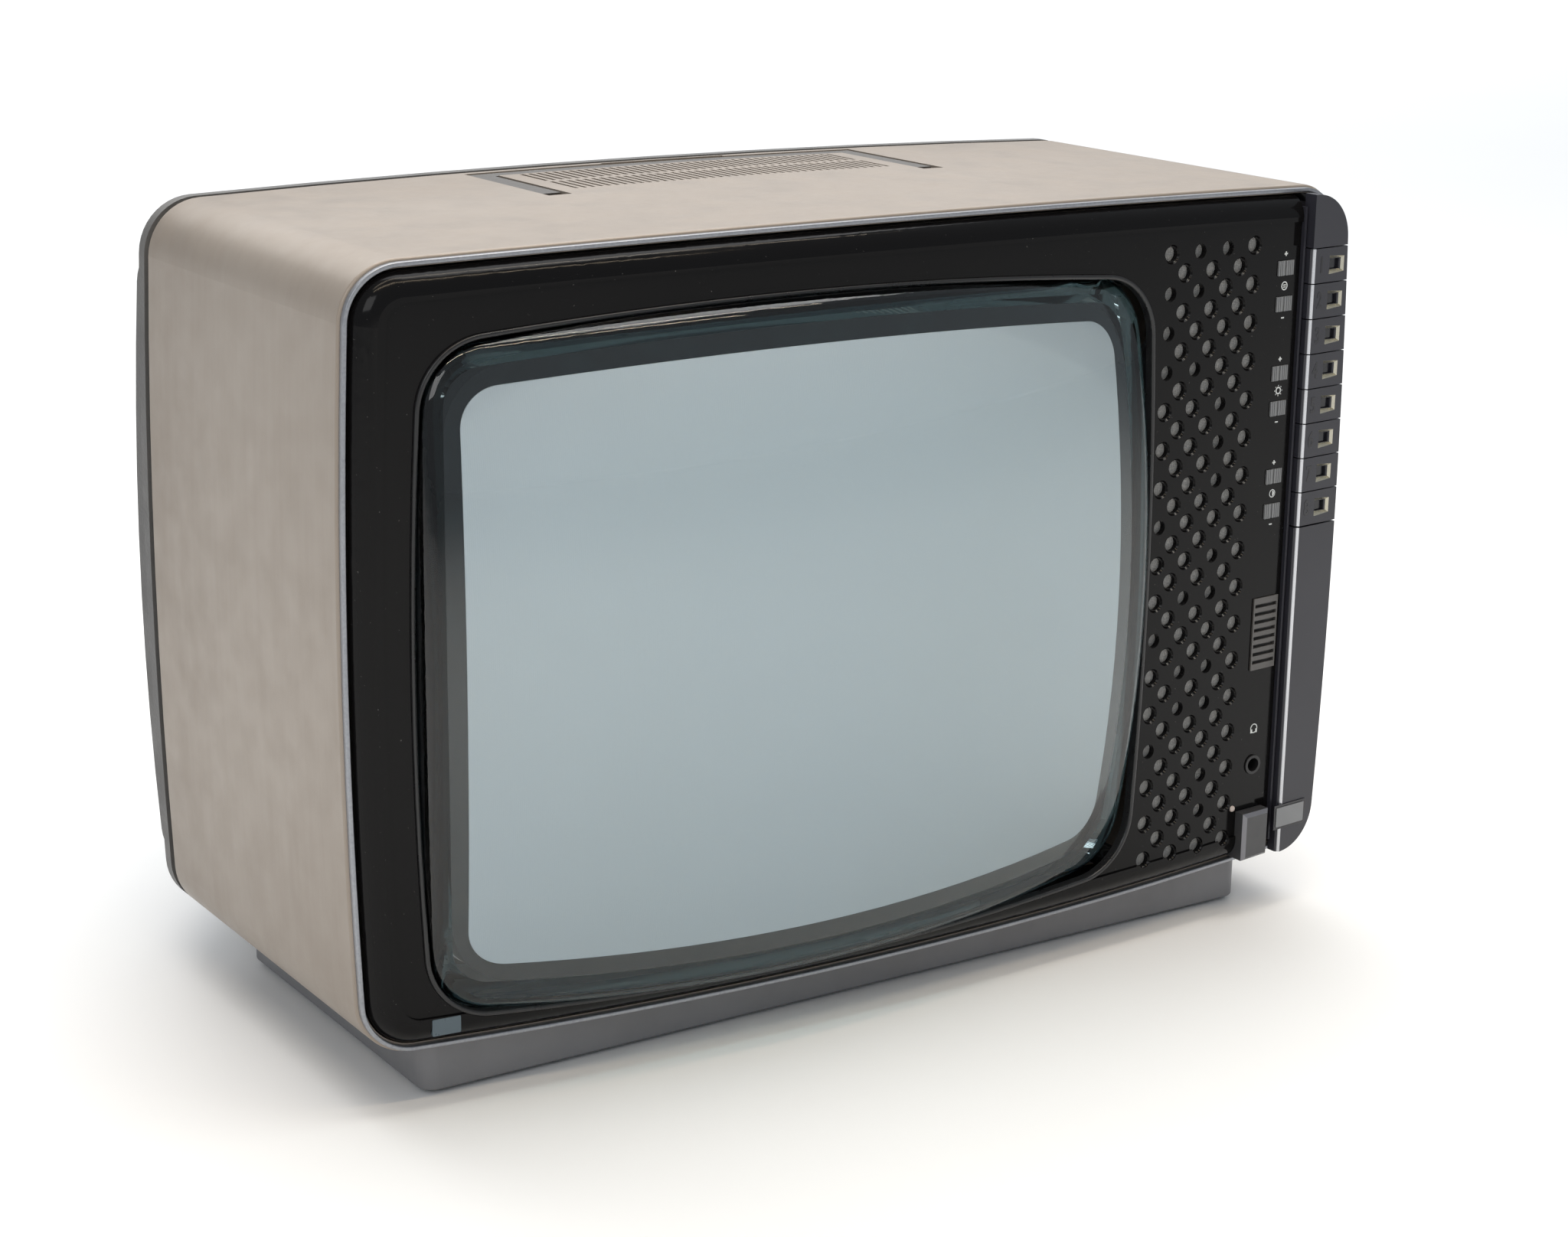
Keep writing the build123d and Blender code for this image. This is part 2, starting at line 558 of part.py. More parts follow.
with BuildPart() as mask_sheet:
    extrude(glass_outline(-GLASS_T - 3, 30), amount=120)
    with Locations(face_centre):
        Sphere(FACE_R - GLASS_T - 13, mode=Mode.INTERSECT)
        Sphere(FACE_R - GLASS_T - 13.6, mode=Mode.SUBTRACT)

with BuildPart() as shadow_mask:
    add(mask_sheet.part)
    extrude(glass_outline(-GLASS_T - 3, 36), amount=20)
    extrude(glass_outline(-GLASS_T - 5, 36), amount=20, mode=Mode.SUBTRACT)
    extrude(glass_outline(-GLASS_T - 5, 36), amount=1.5)
    extrude(glass_outline(-GLASS_T - 20, 36), amount=1.5, mode=Mode.SUBTRACT)
save(shadow_mask, "shadow_mask")


def funnel_section(depth, width, height, radius):
    """One rounded section of the funnel, centred on the tube's axis."""
    with BuildSketch(front_plane(depth)) as section:
        with Locations((TUBE_X, TUBE_Z)):
            RectangleRounded(width, height, radius)
    return section.sketch


def funnel_solid(inset, front, back):
    """Funnel and neck as one solid, moved inwards by `inset`."""
    stations = ((front, 338, 261, 30), (75, 296, 228, 50), (125, 190, 156, 62), (170, 96, 92, 44))
    sections = [
        funnel_section(depth, width - 2 * inset, height - 2 * inset, radius - inset)
        for depth, width, height, radius in stations
    ]
    with BuildPart() as funnel:
        loft(sections=sections, ruled=True)
        with BuildSketch(front_plane(170 - FIT)):
            with Locations((TUBE_X, TUBE_Z)):
                Circle(44 - inset)
        with BuildSketch(front_plane(205)):
            with Locations((TUBE_X, TUBE_Z)):
                Circle(NECK_R - inset)
        loft(ruled=True)
        extrude(circles_at(back, [(TUBE_X, TUBE_Z)], NECK_R - inset), amount=back - 204)
    return funnel.part


with BuildPart() as tube_funnel:
    add(funnel_solid(0, PANEL_BACK + FIT, NECK_BACK))
    add(funnel_solid(3.0, PANEL_BACK, NECK_BACK - 3), mode=Mode.SUBTRACT)
save(tube_funnel, "tube_funnel")


def tube_revolve(points):
    """Revolve a (depth, radius) profile about the tube's axis."""
    axis_plane = Plane(origin=(TUBE_X, FRONT_Y, MID_Z + TUBE_Z), x_dir=(0, 1, 0), z_dir=(1, 0, 0))
    with BuildPart() as turned:
        with BuildSketch(axis_plane):
            with BuildLine():
                Polyline(*points, close=True)
            make_face()
        revolve(axis=Axis(axis_plane.origin, (0, 1, 0)))
    return turned.part


with BuildPart() as electron_gun:
    add(tube_revolve([(228, 0), (228, 8), (240, 8), (240, 10), (262, 10), (262, 7), (314, 7), (314, 0)]))
    for disc in (268, 280, 292, 304):
        add(tube_revolve([(disc, 0), (disc, 10), (disc + 4, 10), (disc + 4, 0)]))
save(electron_gun, "electron_gun")

with BuildPart() as tube_socket:
    add(tube_revolve([(NECK_BACK + FIT, 0), (NECK_BACK + FIT, 20), (336, 20), (336, 0)]))
    extrude(rectangle_at(340, TUBE_X, TUBE_Z, 74, 62), amount=4.1)
save(tube_socket, "tube_socket")

with BuildPart() as deflection_yoke:
    add(
        tube_revolve(
            [(172, 49), (172, 66), (176, 66), (180, 58), (206, 46), (212, 46), (216, 40), (222, 36)]
            + [(222, NECK_R + 0.3), (208, NECK_R + 0.3)]
        )
    )
save(deflection_yoke, "deflection_yoke")

with BuildPart() as convergence_rings:
    add(tube_revolve([(226, NECK_R + 0.1), (226, 17), (254, 17), (254, NECK_R + 0.1)]))
    for ring in range(6):
        ring_depth = 228 + ring * 4.2
        add(tube_revolve([(ring_depth, 16.5), (ring_depth, 25), (ring_depth + 2, 25), (ring_depth + 2, 16.5)]))
        with BuildSketch(front_plane(ring_depth + 2)):
            with Locations((TUBE_X + (ring - 2.5) * 5, TUBE_Z + 25)):
                Rectangle(4, 12)
        extrude(amount=2)
save(convergence_rings, "convergence_rings")

ear_points = [(TUBE_X + sx * EAR_X, TUBE_Z + sz * EAR_Z) for sx in (-1, 1) for sz in (-1, 1)]

with BuildPart() as implosion_band:
    extrude(glass_outline(1.6, 32), amount=26)
    for ear_x, ear_z in ear_points:
        with BuildSketch(front_plane(EAR_DEPTH + 3)):
            with BuildLine():
                inward = Vector(TUBE_X - ear_x, TUBE_Z - ear_z).normalized() * 30
                Line((ear_x, ear_z), (ear_x + inward.X, ear_z + inward.Y))
            trace(line_width=12)
            with Locations((ear_x, ear_z)):
                Circle(6.0)
        extrude(amount=3)
    extrude(glass_outline(0.05, 32), amount=26, mode=Mode.SUBTRACT)
    extrude(circles_at(EAR_DEPTH + 4, ear_points, 2.8), amount=6, mode=Mode.SUBTRACT)
save(implosion_band, "implosion_band")

with BuildPart() as tube_screws:
    with BuildSketch(front_plane(EAR_DEPTH + 3 + FIT + 1.2)):
        with Locations(*ear_points):
            Circle(5.2)
    extrude(amount=1.2)
    with BuildSketch(front_plane(EAR_DEPTH + 8)):
        with Locations(*ear_points):
            RegularPolygon(4.4, 6)
    extrude(amount=3.8)
    extrude(circles_at(EAR_DEPTH + 6, ear_points, 2.4), amount=15.5)
save(tube_screws, "tube_screws")

with BuildPart() as degaussing_coil:
    with BuildSketch(front_plane(62)):
        with Locations((TUBE_X, TUBE_Z)):
            RectangleRounded(360, 278, 46)
            RectangleRounded(344, 262, 38, mode=Mode.SUBTRACT)
    extrude(amount=8)
    fillet(degaussing_coil.edges().filter_by(Axis.Y, reverse=True), 2.5)
save(degaussing_coil, "degaussing_coil")

# ---------------------------------------------------------------- handle

handle_pivot = (FRONT_Y + HANDLE_PIVOT_DEPTH, MID_Z + HANDLE_PIVOT_Z)
arm_middle = HANDLE_HALF - ARM_W / 2

with BuildPart() as tray_outside:
    extrude(handle_outline(MID_Z + HEIGHT / 2 - 17, 4.5), amount=40)
    # front wall of each arm's trough
    with BuildSketch(Plane.XY.offset(MID_Z + HEIGHT / 2 - 17)):
        with Locations(*[(x, FRONT_Y + HANDLE_FRONT - HANDLE_SWING) for x in (-arm_middle, arm_middle)]):
            Rectangle(ARM_W + 9, 3)
    extrude(amount=40)

with BuildPart() as handle_tray:
    add(tray_outside.part)
    extrude(handle_outline(MID_Z + HEIGHT / 2 - 15, 1.5), amount=40, mode=Mode.SUBTRACT)
    extrude(cabinet_outline(WALL + FIT, 300), amount=400, mode=Mode.INTERSECT)
    # cheeks beside each pivot, bored for the pins
    for arm_x in (-arm_middle, arm_middle):
        for side in (-1, 1):
            with BuildSketch(Plane.XY.offset(MID_Z + HEIGHT / 2 - 16)):
                with Locations((arm_x + side * (ARM_W / 2 + 2.05), handle_pivot[0])):
                    Rectangle(3.1, 9)
            extrude(amount=11.3)
    with Locations(Plane(origin=(0, *handle_pivot), x_dir=(0, 1, 0), z_dir=(1, 0, 0))):
        Cylinder(HANDLE_PIN_R + 0.02, 2 * HANDLE_HALF + 20, mode=Mode.SUBTRACT)
save(handle_tray, "handle_tray")

with BuildPart() as carry_handle:
    extrude(handle_outline(MID_Z + HANDLE_PIVOT_Z - HANDLE_T / 2, 0.0), amount=30)
    extrude(cabinet_outline(0.4, 300), amount=400, mode=Mode.INTERSECT)
    # rounded front ends, so that the arms turn clear of the opening
    for arm_x in (-arm_middle, arm_middle):
        end_plane = Plane(origin=(arm_x - ARM_W, *handle_pivot), x_dir=(0, 1, 0), z_dir=(1, 0, 0))
        with BuildSketch(end_plane):
            with Locations((-8, 0)):
                Rectangle(16, 20)
            Circle(3.4, mode=Mode.SUBTRACT)
        extrude(amount=2 * ARM_W, mode=Mode.SUBTRACT)
    with Locations(Plane(origin=(0, *handle_pivot), x_dir=(0, 1, 0), z_dir=(1, 0, 0))):
        Cylinder(HANDLE_PIN_R + 0.05, 2 * HANDLE_HALF + 20, mode=Mode.SUBTRACT)
save(carry_handle, "carry_handle")

with BuildPart() as handle_pins:
    for arm_x in (-arm_middle, arm_middle):
        with Locations(Plane(origin=(arm_x, *handle_pivot), x_dir=(0, 1, 0), z_dir=(1, 0, 0))):
            Cylinder(HANDLE_PIN_R, ARM_W + 6.0)
save(handle_pins, "handle_pins")

# ---------------------------------------------------------------- rear cover

COVER_T = 2.6
# depth, width, height, corner radius, middle height and side bow of each step
cover_stations = ((SHELL_BACK + 1.2, 480, 304, 22, 0, WALL_BOW), (212, 480, 288, 24, -2, 6.0))
cover_stations += ((246, 456, 236, 26, -6, 4.0), (300, 330, 214, 30, -8, 2.0))
cover_stations += ((COVER_BACK, 236, 176, 26, -8, 1.0),)


def cover_solid(inset, extra_front=0.0):
    """Rear cover as a stepped taper, moved inwards by `inset`."""
    sections = []
    for number, (depth, width, height, radius, mid_z, bow) in enumerate(cover_stations):
        last = number == len(cover_stations) - 1
        place = depth - extra_front if number == 0 else depth - (inset if last else 0)
        size = (width - 2 * inset, height - 2 * inset)
        sections.append(bowed_outline(place, size, (bow, 1.0), radius - inset, (0, mid_z)))
    with BuildPart() as cover:
        loft(sections=sections, ruled=True)
    return cover.part


with BuildPart() as well_posts:
    extrude(circles_at(SHELL_BACK + 60, SCREW_POINTS, 7.0), amount=58.8)
    add(cover_solid(0), mode=Mode.INTERSECT)

with BuildPart() as rear_cover:
    add(cover_solid(0))
    # rim that meets the shell across a narrow dark gap
    extrude(cabinet_outline(0, SHELL_BACK + 10.5), amount=6.0)
    extrude(cabinet_outline(6.0, SHELL_BACK + 11), amount=14, mode=Mode.SUBTRACT)
    add(cover_solid(0), mode=Mode.ADD)
    add(cover_solid(COVER_T, 3.0), mode=Mode.SUBTRACT)
    # louvres in both sides, the top and the back
    side_slots = 38
    for side in (-1, 1):
        louvre_plane = Plane(
            origin=(side * 222, FRONT_Y + 231, MID_Z - 6), x_dir=(0, 1, 0), z_dir=(side, 0, 0)
        )
        with BuildSketch(louvre_plane):
            with GridLocations(1, 5.2, 1, side_slots):
                Rectangle(24, 2.0, rotation=side * 14)
        extrude(amount=30, mode=Mode.SUBTRACT)
    with BuildSketch(Plane.XY.offset(MID_Z + 92)):
        with Locations((0, FRONT_Y + 276)):
            with GridLocations(7.0, 1, 34, 1):
                Rectangle(2.8, 36)
    extrude(amount=40, mode=Mode.SUBTRACT)
    with BuildSketch(front_plane(COVER_BACK + 1)):
        with Locations((0, 34)):
            with GridLocations(7.0, 34, 26, 2):
                Rectangle(2.8, 28)
    extrude(amount=8, mode=Mode.SUBTRACT)
    # openings for the aerial sockets and the mains lead's bush
    extrude(rectangle_at(COVER_BACK + 1, 62, -58, 50.2, 26.2), amount=8, mode=Mode.SUBTRACT)
    extrude(circles_at(COVER_BACK + 1, [(-78, -70)], 6.1), amount=8, mode=Mode.SUBTRACT)
    # screw wells
    add(well_posts.part)
    extrude(circles_at(SHELL_BACK + 60, SCREW_POINTS, 4.6), amount=50, mode=Mode.SUBTRACT)
    extrude(circles_at(SHELL_BACK + 20, SCREW_POINTS, 2.3), amount=24, mode=Mode.SUBTRACT)
save(rear_cover, "rear_cover")

with BuildPart() as rear_screws:
    extrude(circles_at(SHELL_BACK + 13, SCREW_POINTS, 4.0), amount=2.8)
    extrude(circles_at(SHELL_BACK + 11, SCREW_POINTS, 2.1), amount=24)
    with BuildSketch(front_plane(SHELL_BACK + 13)):
        with Locations(*SCREW_POINTS):
            Rectangle(5.2, 1.1)
            Rectangle(1.1, 5.2)
    extrude(amount=1.4, mode=Mode.SUBTRACT)
save(rear_screws, "rear_screws")

with BuildPart() as aerial_sockets:
    extrude(rectangle_at(COVER_BACK - 0.4, 62, -58, 50, 26), amount=2.0)
    extrude(circles_at(COVER_BACK + 0.0, [(48, -58), (76, -58)], 6.5), amount=18)
    extrude(circles_at(COVER_BACK + 1, [(48, -58), (76, -58)], 4.8), amount=11, mode=Mode.SUBTRACT)
    extrude(circles_at(COVER_BACK - 1, [(48, -58), (76, -58)], 1.2), amount=12)
save(aerial_sockets, "aerial_sockets")

with BuildPart() as mains_bush:
    extrude(circles_at(COVER_BACK, [(-78, -70)], 6.0), amount=6.0)
    extrude(circles_at(COVER_BACK - 2.8, [(-78, -70)], 8.0), amount=3.0)
    extrude(circles_at(COVER_BACK + 1, [(-78, -70)], 3.2), amount=20, mode=Mode.SUBTRACT)
save(mains_bush, "mains_bush")

# ---------------------------------------------------------------- plinth and feet

PLINTH_W, PLINTH_FRONT, PLINTH_BACK, PLINTH_R = 428.0, 12.0, 182.0, 7.0
PLINTH_LOW = 2.0
plinth_mid = FRONT_Y + (PLINTH_FRONT + PLINTH_BACK) / 2
plinth_len = PLINTH_BACK - PLINTH_FRONT

with BuildPart() as plinth:
    with BuildSketch(Plane.XY.offset(PLINTH_LOW)):
        with Locations((0, plinth_mid)):
            RectangleRounded(PLINTH_W, plinth_len, PLINTH_R)
    extrude(amount=BASE_H + 6)
    with BuildSketch(Plane.XY.offset(PLINTH_LOW + 3)):
        with Locations((0, plinth_mid)):
            RectangleRounded(PLINTH_W - 8, plinth_len - 8, PLINTH_R - 4)
    extrude(amount=BASE_H + 6, mode=Mode.SUBTRACT)
    extrude(cabinet_outline(-FIT, 300), amount=400, mode=Mode.SUBTRACT)
    fillet(plinth.faces().sort_by(Axis.Z)[0].outer_wire().edges(), 1.5)
save(plinth, "plinth")

with BuildPart() as rubber_feet:
    with BuildSketch(Plane.XY):
        with Locations((0, plinth_mid)):
            with GridLocations(PLINTH_W - 44, plinth_len - 40, 2, 2):
                Circle(11)
    extrude(amount=PLINTH_LOW - 0.05)
    chamfer(rubber_feet.faces().sort_by(Axis.Z)[0:4].edges(), 0.6)
save(rubber_feet, "rubber_feet")

# ---------------------------------------------------------------- chassis and speaker

with BuildPart() as main_board:
    with BuildSketch(Plane.XY.offset(BASE_H + 16)):
        with Locations((10, FRONT_Y + 136)):
            Rectangle(360, 104)
    extrude(amount=1.6)
    # electrolytic capacitors and coil cans
    with BuildSketch(Plane.XY.offset(BASE_H + 17.6)):
        with Locations((-120, FRONT_Y + 165), (-95, FRONT_Y + 165), (-60, FRONT_Y + 172)):
            Circle(9)
    extrude(amount=22)
    with BuildSketch(Plane.XY.offset(BASE_H + 17.6)):
        with Locations((0, FRONT_Y + 172)):
            with GridLocations(16, 14, 4, 2):
                Rectangle(10, 10)
    extrude(amount=14)
    # heat sink of the line output stage
    with BuildSketch(Plane.XY.offset(BASE_H + 17.6)):
        with Locations((-152, FRONT_Y + 150)):
            Rectangle(3, 70)
            with GridLocations(1, 11, 1, 6):
                with Locations((8, 0)):
                    Rectangle(16, 1.6)
    extrude(amount=42)
    # brackets down to the cabinet floor
    with BuildSketch(Plane.XY.offset(BASE_H + 2)):
        with Locations((10, FRONT_Y + 136)):
            with GridLocations(320, 80, 2, 2):
                Rectangle(8, 8)
    extrude(amount=14.1)
save(main_board, "main_board")

with BuildPart() as flyback_transformer:
    base_z = BASE_H + 17.7
    with BuildSketch(Plane.XY.offset(base_z)):
        with Locations((135, FRONT_Y + 160)):
            Rectangle(46, 40)
    extrude(amount=6)
    with BuildSketch(Plane.XY.offset(base_z)):
        with Locations((135, FRONT_Y + 160)):
            Circle(19)
    extrude(amount=52)
    with BuildSketch(Plane.XY.offset(base_z + 6)):
        with Locations((162, FRONT_Y + 160)):
            Rectangle(13, 14)
    extrude(amount=40)
save(flyback_transformer, "flyback_transformer")

with BuildPart() as tuner_box:
    with BuildSketch(Plane.XY.offset(BASE_H + 17.7)):
        with Locations((72, FRONT_Y + 145)):
            Rectangle(44, 74)
    extrude(amount=22)
save(tuner_box, "tuner_box")

SPEAKER_X, SPEAKER_Z, SPEAKER_DEPTH = 164.0, 40.0, 9.0

with BuildPart() as speaker_frame:
    with BuildSketch(front_plane(SPEAKER_DEPTH + 2)) as flange:
        with Locations((SPEAKER_X, SPEAKER_Z)):
            SlotOverall(130, 58, rotation=90)
            SlotOverall(118, 46, rotation=90, mode=Mode.SUBTRACT)
    extrude(amount=2)
    with BuildSketch(front_plane(SPEAKER_DEPTH + 2 - FIT)):
        with Locations((SPEAKER_X, SPEAKER_Z)):
            SlotOverall(122, 50, rotation=90)
    with BuildSketch(front_plane(SPEAKER_DEPTH + 24)):
        with Locations((SPEAKER_X, SPEAKER_Z)):
            SlotOverall(66, 40, rotation=90)
    loft(ruled=True)
    with BuildSketch(front_plane(SPEAKER_DEPTH)):
        with Locations((SPEAKER_X, SPEAKER_Z)):
            SlotOverall(118, 46, rotation=90)
    with BuildSketch(front_plane(SPEAKER_DEPTH + 22)):
        with Locations((SPEAKER_X, SPEAKER_Z)):
            SlotOverall(62, 36, rotation=90)
    loft(ruled=True, mode=Mode.SUBTRACT)
    extrude(circles_at(SPEAKER_DEPTH + 44, [(SPEAKER_X, SPEAKER_Z)], 24), amount=20.2)
save(speaker_frame, "speaker_frame")

with BuildPart() as speaker_cone:
    with BuildSketch(front_plane(SPEAKER_DEPTH + 1.5)):
        with Locations((SPEAKER_X, SPEAKER_Z)):
            SlotOverall(113, 41, rotation=90)
    with BuildSketch(front_plane(SPEAKER_DEPTH + 19)):
        with Locations((SPEAKER_X, SPEAKER_Z)):
            SlotOverall(56, 29, rotation=90)
    loft(ruled=True)
    with BuildSketch(front_plane(SPEAKER_DEPTH + 1.0)):
        with Locations((SPEAKER_X, SPEAKER_Z)):
            SlotOverall(110, 38, rotation=90)
    with BuildSketch(front_plane(SPEAKER_DEPTH + 17.5)):
        with Locations((SPEAKER_X, SPEAKER_Z)):
            SlotOverall(53, 26, rotation=90)
    loft(ruled=True, mode=Mode.SUBTRACT)
save(speaker_cone, "speaker_cone")
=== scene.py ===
import math

import bmesh
import bpy
from mathutils import Matrix, Vector


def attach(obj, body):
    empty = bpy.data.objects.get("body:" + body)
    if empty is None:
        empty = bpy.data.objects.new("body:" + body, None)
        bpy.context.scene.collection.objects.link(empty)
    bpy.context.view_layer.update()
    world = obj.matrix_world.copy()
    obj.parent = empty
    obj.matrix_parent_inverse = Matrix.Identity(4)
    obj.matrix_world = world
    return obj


# Looks of a portable colour television set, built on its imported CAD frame. Places are in
# millimetres, as in the CAD, and become metres where a piece is made. "Local" x and z are
# measured from the middle of the cabinet's front.

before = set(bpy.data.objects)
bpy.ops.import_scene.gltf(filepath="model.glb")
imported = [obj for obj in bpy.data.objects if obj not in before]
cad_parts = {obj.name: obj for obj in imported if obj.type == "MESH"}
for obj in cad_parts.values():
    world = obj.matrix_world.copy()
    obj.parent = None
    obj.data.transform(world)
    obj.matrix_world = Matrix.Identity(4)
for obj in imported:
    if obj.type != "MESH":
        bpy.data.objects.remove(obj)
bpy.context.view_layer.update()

MM = 0.001
FRONT_Y, MID_Z = -158.5, 182.0
HALF_W, FACE_BOW = 244.0, 12.7
TUBE_X, TUBE_Z = -45.0, -8.5
FACE_R, GLASS_PROUD, GLASS_T = 685.0, 35.5, 11.0
GLASS_SIZE, GLASS_BOWS, GLASS_CORNER = (341.0, 264.0), (5.0, 8.5), 28.0
SCREEN_SIZE, SCREEN_BOWS, SCREEN_CORNER = (308.0, 228.0), (3.0, 7.1), 17.0
RECESS_DEPTH, STRIP_PROUD = 1.0, 5.0
KEY_TOP, KEY_PITCH, KEY_COUNT = 129.7, 15.85, 8
WINDOW_X, NUMERAL_X = 235.5, 225.4
PAD_X, PAD_TOP, PAD_GROUP, PAD_PAIR = 208.0, 121.6, 47.2, 16.0
SIGN_GAP, RAY_R = 6.3, 2.3
HEADPHONE_SIGN, DOOR_PLATE, BADGE = (205.0, -91.6), (226.3, -136.0), (-211.0, -145.5)


# ---------------------------------------------------------------- materials


class Surface:
    """One procedural material: a Principled shader and the nodes that feed it."""

    def __init__(self, name, color, roughness=0.5, **constants):
        self.material = bpy.data.materials.new(name)
        self.material.use_nodes = True
        self.tree = self.material.node_tree
        self.shader = self.tree.nodes["Principled BSDF"]
        self.color, self.normal = color, None
        self.feed(self.shader.inputs["Base Color"], color)
        self.feed(self.shader.inputs["Roughness"], roughness)
        for socket, value in constants.items():
            self.shader.inputs[socket.replace("_", " ")].default_value = value

    def node(self, kind, **values):
        made = self.tree.nodes.new("ShaderNode" + kind)
        for key, value in values.items():
            setattr(made, key, value)
        return made

    def feed(self, socket, value):
        """Link a socket, or set it to a number or a colour."""
        if isinstance(value, bpy.types.NodeSocket):
            self.tree.links.new(value, socket)
        elif isinstance(value, tuple) and len(value) == 3 and socket.type == "RGBA":
            socket.default_value = (*value, 1.0)
        else:
            socket.default_value = value

    def place(self, stretch=(1, 1, 1)):
        """The object coordinate in metres, stretched along each axis."""
        mapping = self.node("Mapping")
        mapping.inputs["Scale"].default_value = stretch
        self.feed(mapping.inputs["Vector"], self.node("TexCoord").outputs["Object"])
        return mapping.outputs["Vector"]

    def axis(self, letter):
        """The object coordinate along one axis, in metres."""
        split = self.node("SeparateXYZ")
        self.feed(split.inputs[0], self.node("TexCoord").outputs["Object"])
        return split.outputs[letter]

    def noise(self, scale, detail=3.0, stretch=(1, 1, 1), rough=0.5):
        made = self.node("TexNoise")
        made.inputs["Scale"].default_value = scale
        made.inputs["Detail"].default_value = detail
        made.inputs["Roughness"].default_value = rough
        self.feed(made.inputs["Vector"], self.place(stretch))
        return made.outputs["Fac"]

    def cells(self, scale):
        made = self.node("TexVoronoi")
        made.inputs["Scale"].default_value = scale
        self.feed(made.inputs["Vector"], self.place())
        return made.outputs["Distance"]

    def waves(self, scale, direction):
        made = self.node("TexWave", bands_direction=direction)
        made.inputs["Scale"].default_value = scale
        self.feed(made.inputs["Vector"], self.place())
        return made.outputs["Fac"]

    def span(self, value, low, high, to_low=0.0, to_high=1.0):
        made = self.node("MapRange")
        limits = {"From Min": low, "From Max": high, "To Min": to_low, "To Max": to_high}
        for socket, number in limits.items():
            made.inputs[socket].default_value = number
        self.feed(made.inputs["Value"], value)
        return made.outputs["Result"]

    def math(self, operation, first, second):
        made = self.node("Math", operation=operation)
        self.feed(made.inputs[0], first)
        self.feed(made.inputs[1], second)
        return made.outputs[0]

    def facing(self, direction, low, high):
        """1 where the surface's own normal points along direction, 0 where it doesn't."""
        dot = self.node("VectorMath", operation="DOT_PRODUCT")
        self.feed(dot.inputs[0], self.node("TexCoord").outputs["Normal"])
        dot.inputs[1].default_value = Vector(direction).normalized()
        return self.span(dot.outputs["Value"], low, high)

    def blend(self, factor, color):
        """Move the base colour towards another by factor."""
        mixer = self.node("Mix", data_type="RGBA")
        self.feed(mixer.inputs[0], factor)
        self.feed(mixer.inputs[6], self.color)
        self.feed(mixer.inputs[7], color)
        self.color = mixer.outputs[2]
        self.feed(self.shader.inputs["Base Color"], self.color)
        return self

    def drive(self, socket, value):
        self.feed(self.shader.inputs[socket], value)
        return self

    def bump(self, height, distance, strength=1.0):
        made = self.node("Bump")
        made.inputs["Distance"].default_value = distance
        made.inputs["Strength"].default_value = strength
        self.feed(made.inputs["Height"], height)
        if self.normal is not None:
            self.feed(made.inputs["Normal"], self.normal)
        self.normal = made.outputs["Normal"]
        self.feed(self.shader.inputs["Normal"], self.normal)
        return self


def shade(color, times):
    return tuple(channel * times for channel in color)


def moulded(name, color, roughness, grain=2400, depth=0.02, varies=0.15, **constants):
    """Moulded or painted surface: slight colour clouds, uneven gloss and a fine grain."""
    made = Surface(name, color, roughness, **constants)
    made.blend(made.span(made.noise(38, 4), 0.35, 0.75, 0, varies), shade(color, 0.62))
    made.drive("Roughness", made.span(made.noise(160, 4), 0.3, 0.7, roughness * 0.85, roughness * 1.15))
    made.bump(made.noise(grain, 2), depth * MM)
    return made


def cabinet_lacquer():
    made = Surface("cabinet_lacquer", (0.315, 0.268, 0.225), 0.42, Metallic=0.25)
    streaks = made.noise(1.0, 5, stretch=(170, 170, 7), rough=0.6)
    made.blend(made.span(streaks, 0.38, 0.72, 0, 0.3), (0.26, 0.21, 0.168))
    made.blend(made.span(made.noise(9, 4), 0.5, 0.8, 0, 0.35), (0.355, 0.31, 0.265))
    # darker in patches towards the rear edge and the floor: painted shade, with some grime
    rear = made.span(made.axis("Y"), -0.05, 0.034, 0, 0.9)
    low = made.span(made.axis("Z"), 0.16, 0.03, 0, 0.35)
    patchy = made.span(made.noise(14, 5, rough=0.65), 0.35, 0.7)
    shade_and_grime = made.math("MULTIPLY", made.math("MAXIMUM", rear, low), made.span(patchy, 0, 1, 0.2, 0.6))
    made.blend(shade_and_grime, (0.18, 0.14, 0.105))
    made.drive("Roughness", made.span(made.noise(60, 5), 0.3, 0.7, 0.36, 0.48))
    made.bump(made.noise(1700, 2), 0.02 * MM)
    return made


def silver_trim():
    made = Surface("trim_silver", (0.33, 0.34, 0.365), 0.36, Metallic=0.75)
    made.blend(made.span(made.noise(900, 3), 0.35, 0.7, 0, 0.45), (0.20, 0.21, 0.235))
    made.blend(made.span(made.noise(30, 4), 0.55, 0.8, 0, 0.4), (0.44, 0.455, 0.48))
    made.bump(made.noise(1500, 3), 0.05 * MM)
    return made


def bezel_gloss():
    made = Surface("bezel_gloss", (0.0045, 0.0042, 0.0044), 0.1, Specular_IOR_Level=0.15)
    made.drive("Roughness", made.span(made.noise(45, 5, rough=0.6), 0.3, 0.75, 0.06, 0.2))
    # dust specks
    dust = made.span(made.noise(900, 1), 0.77, 0.83, 0, 0.35)
    made.blend(dust, (0.22, 0.21, 0.2))
    made.bump(made.noise(120, 3), 0.012 * MM)
    return made


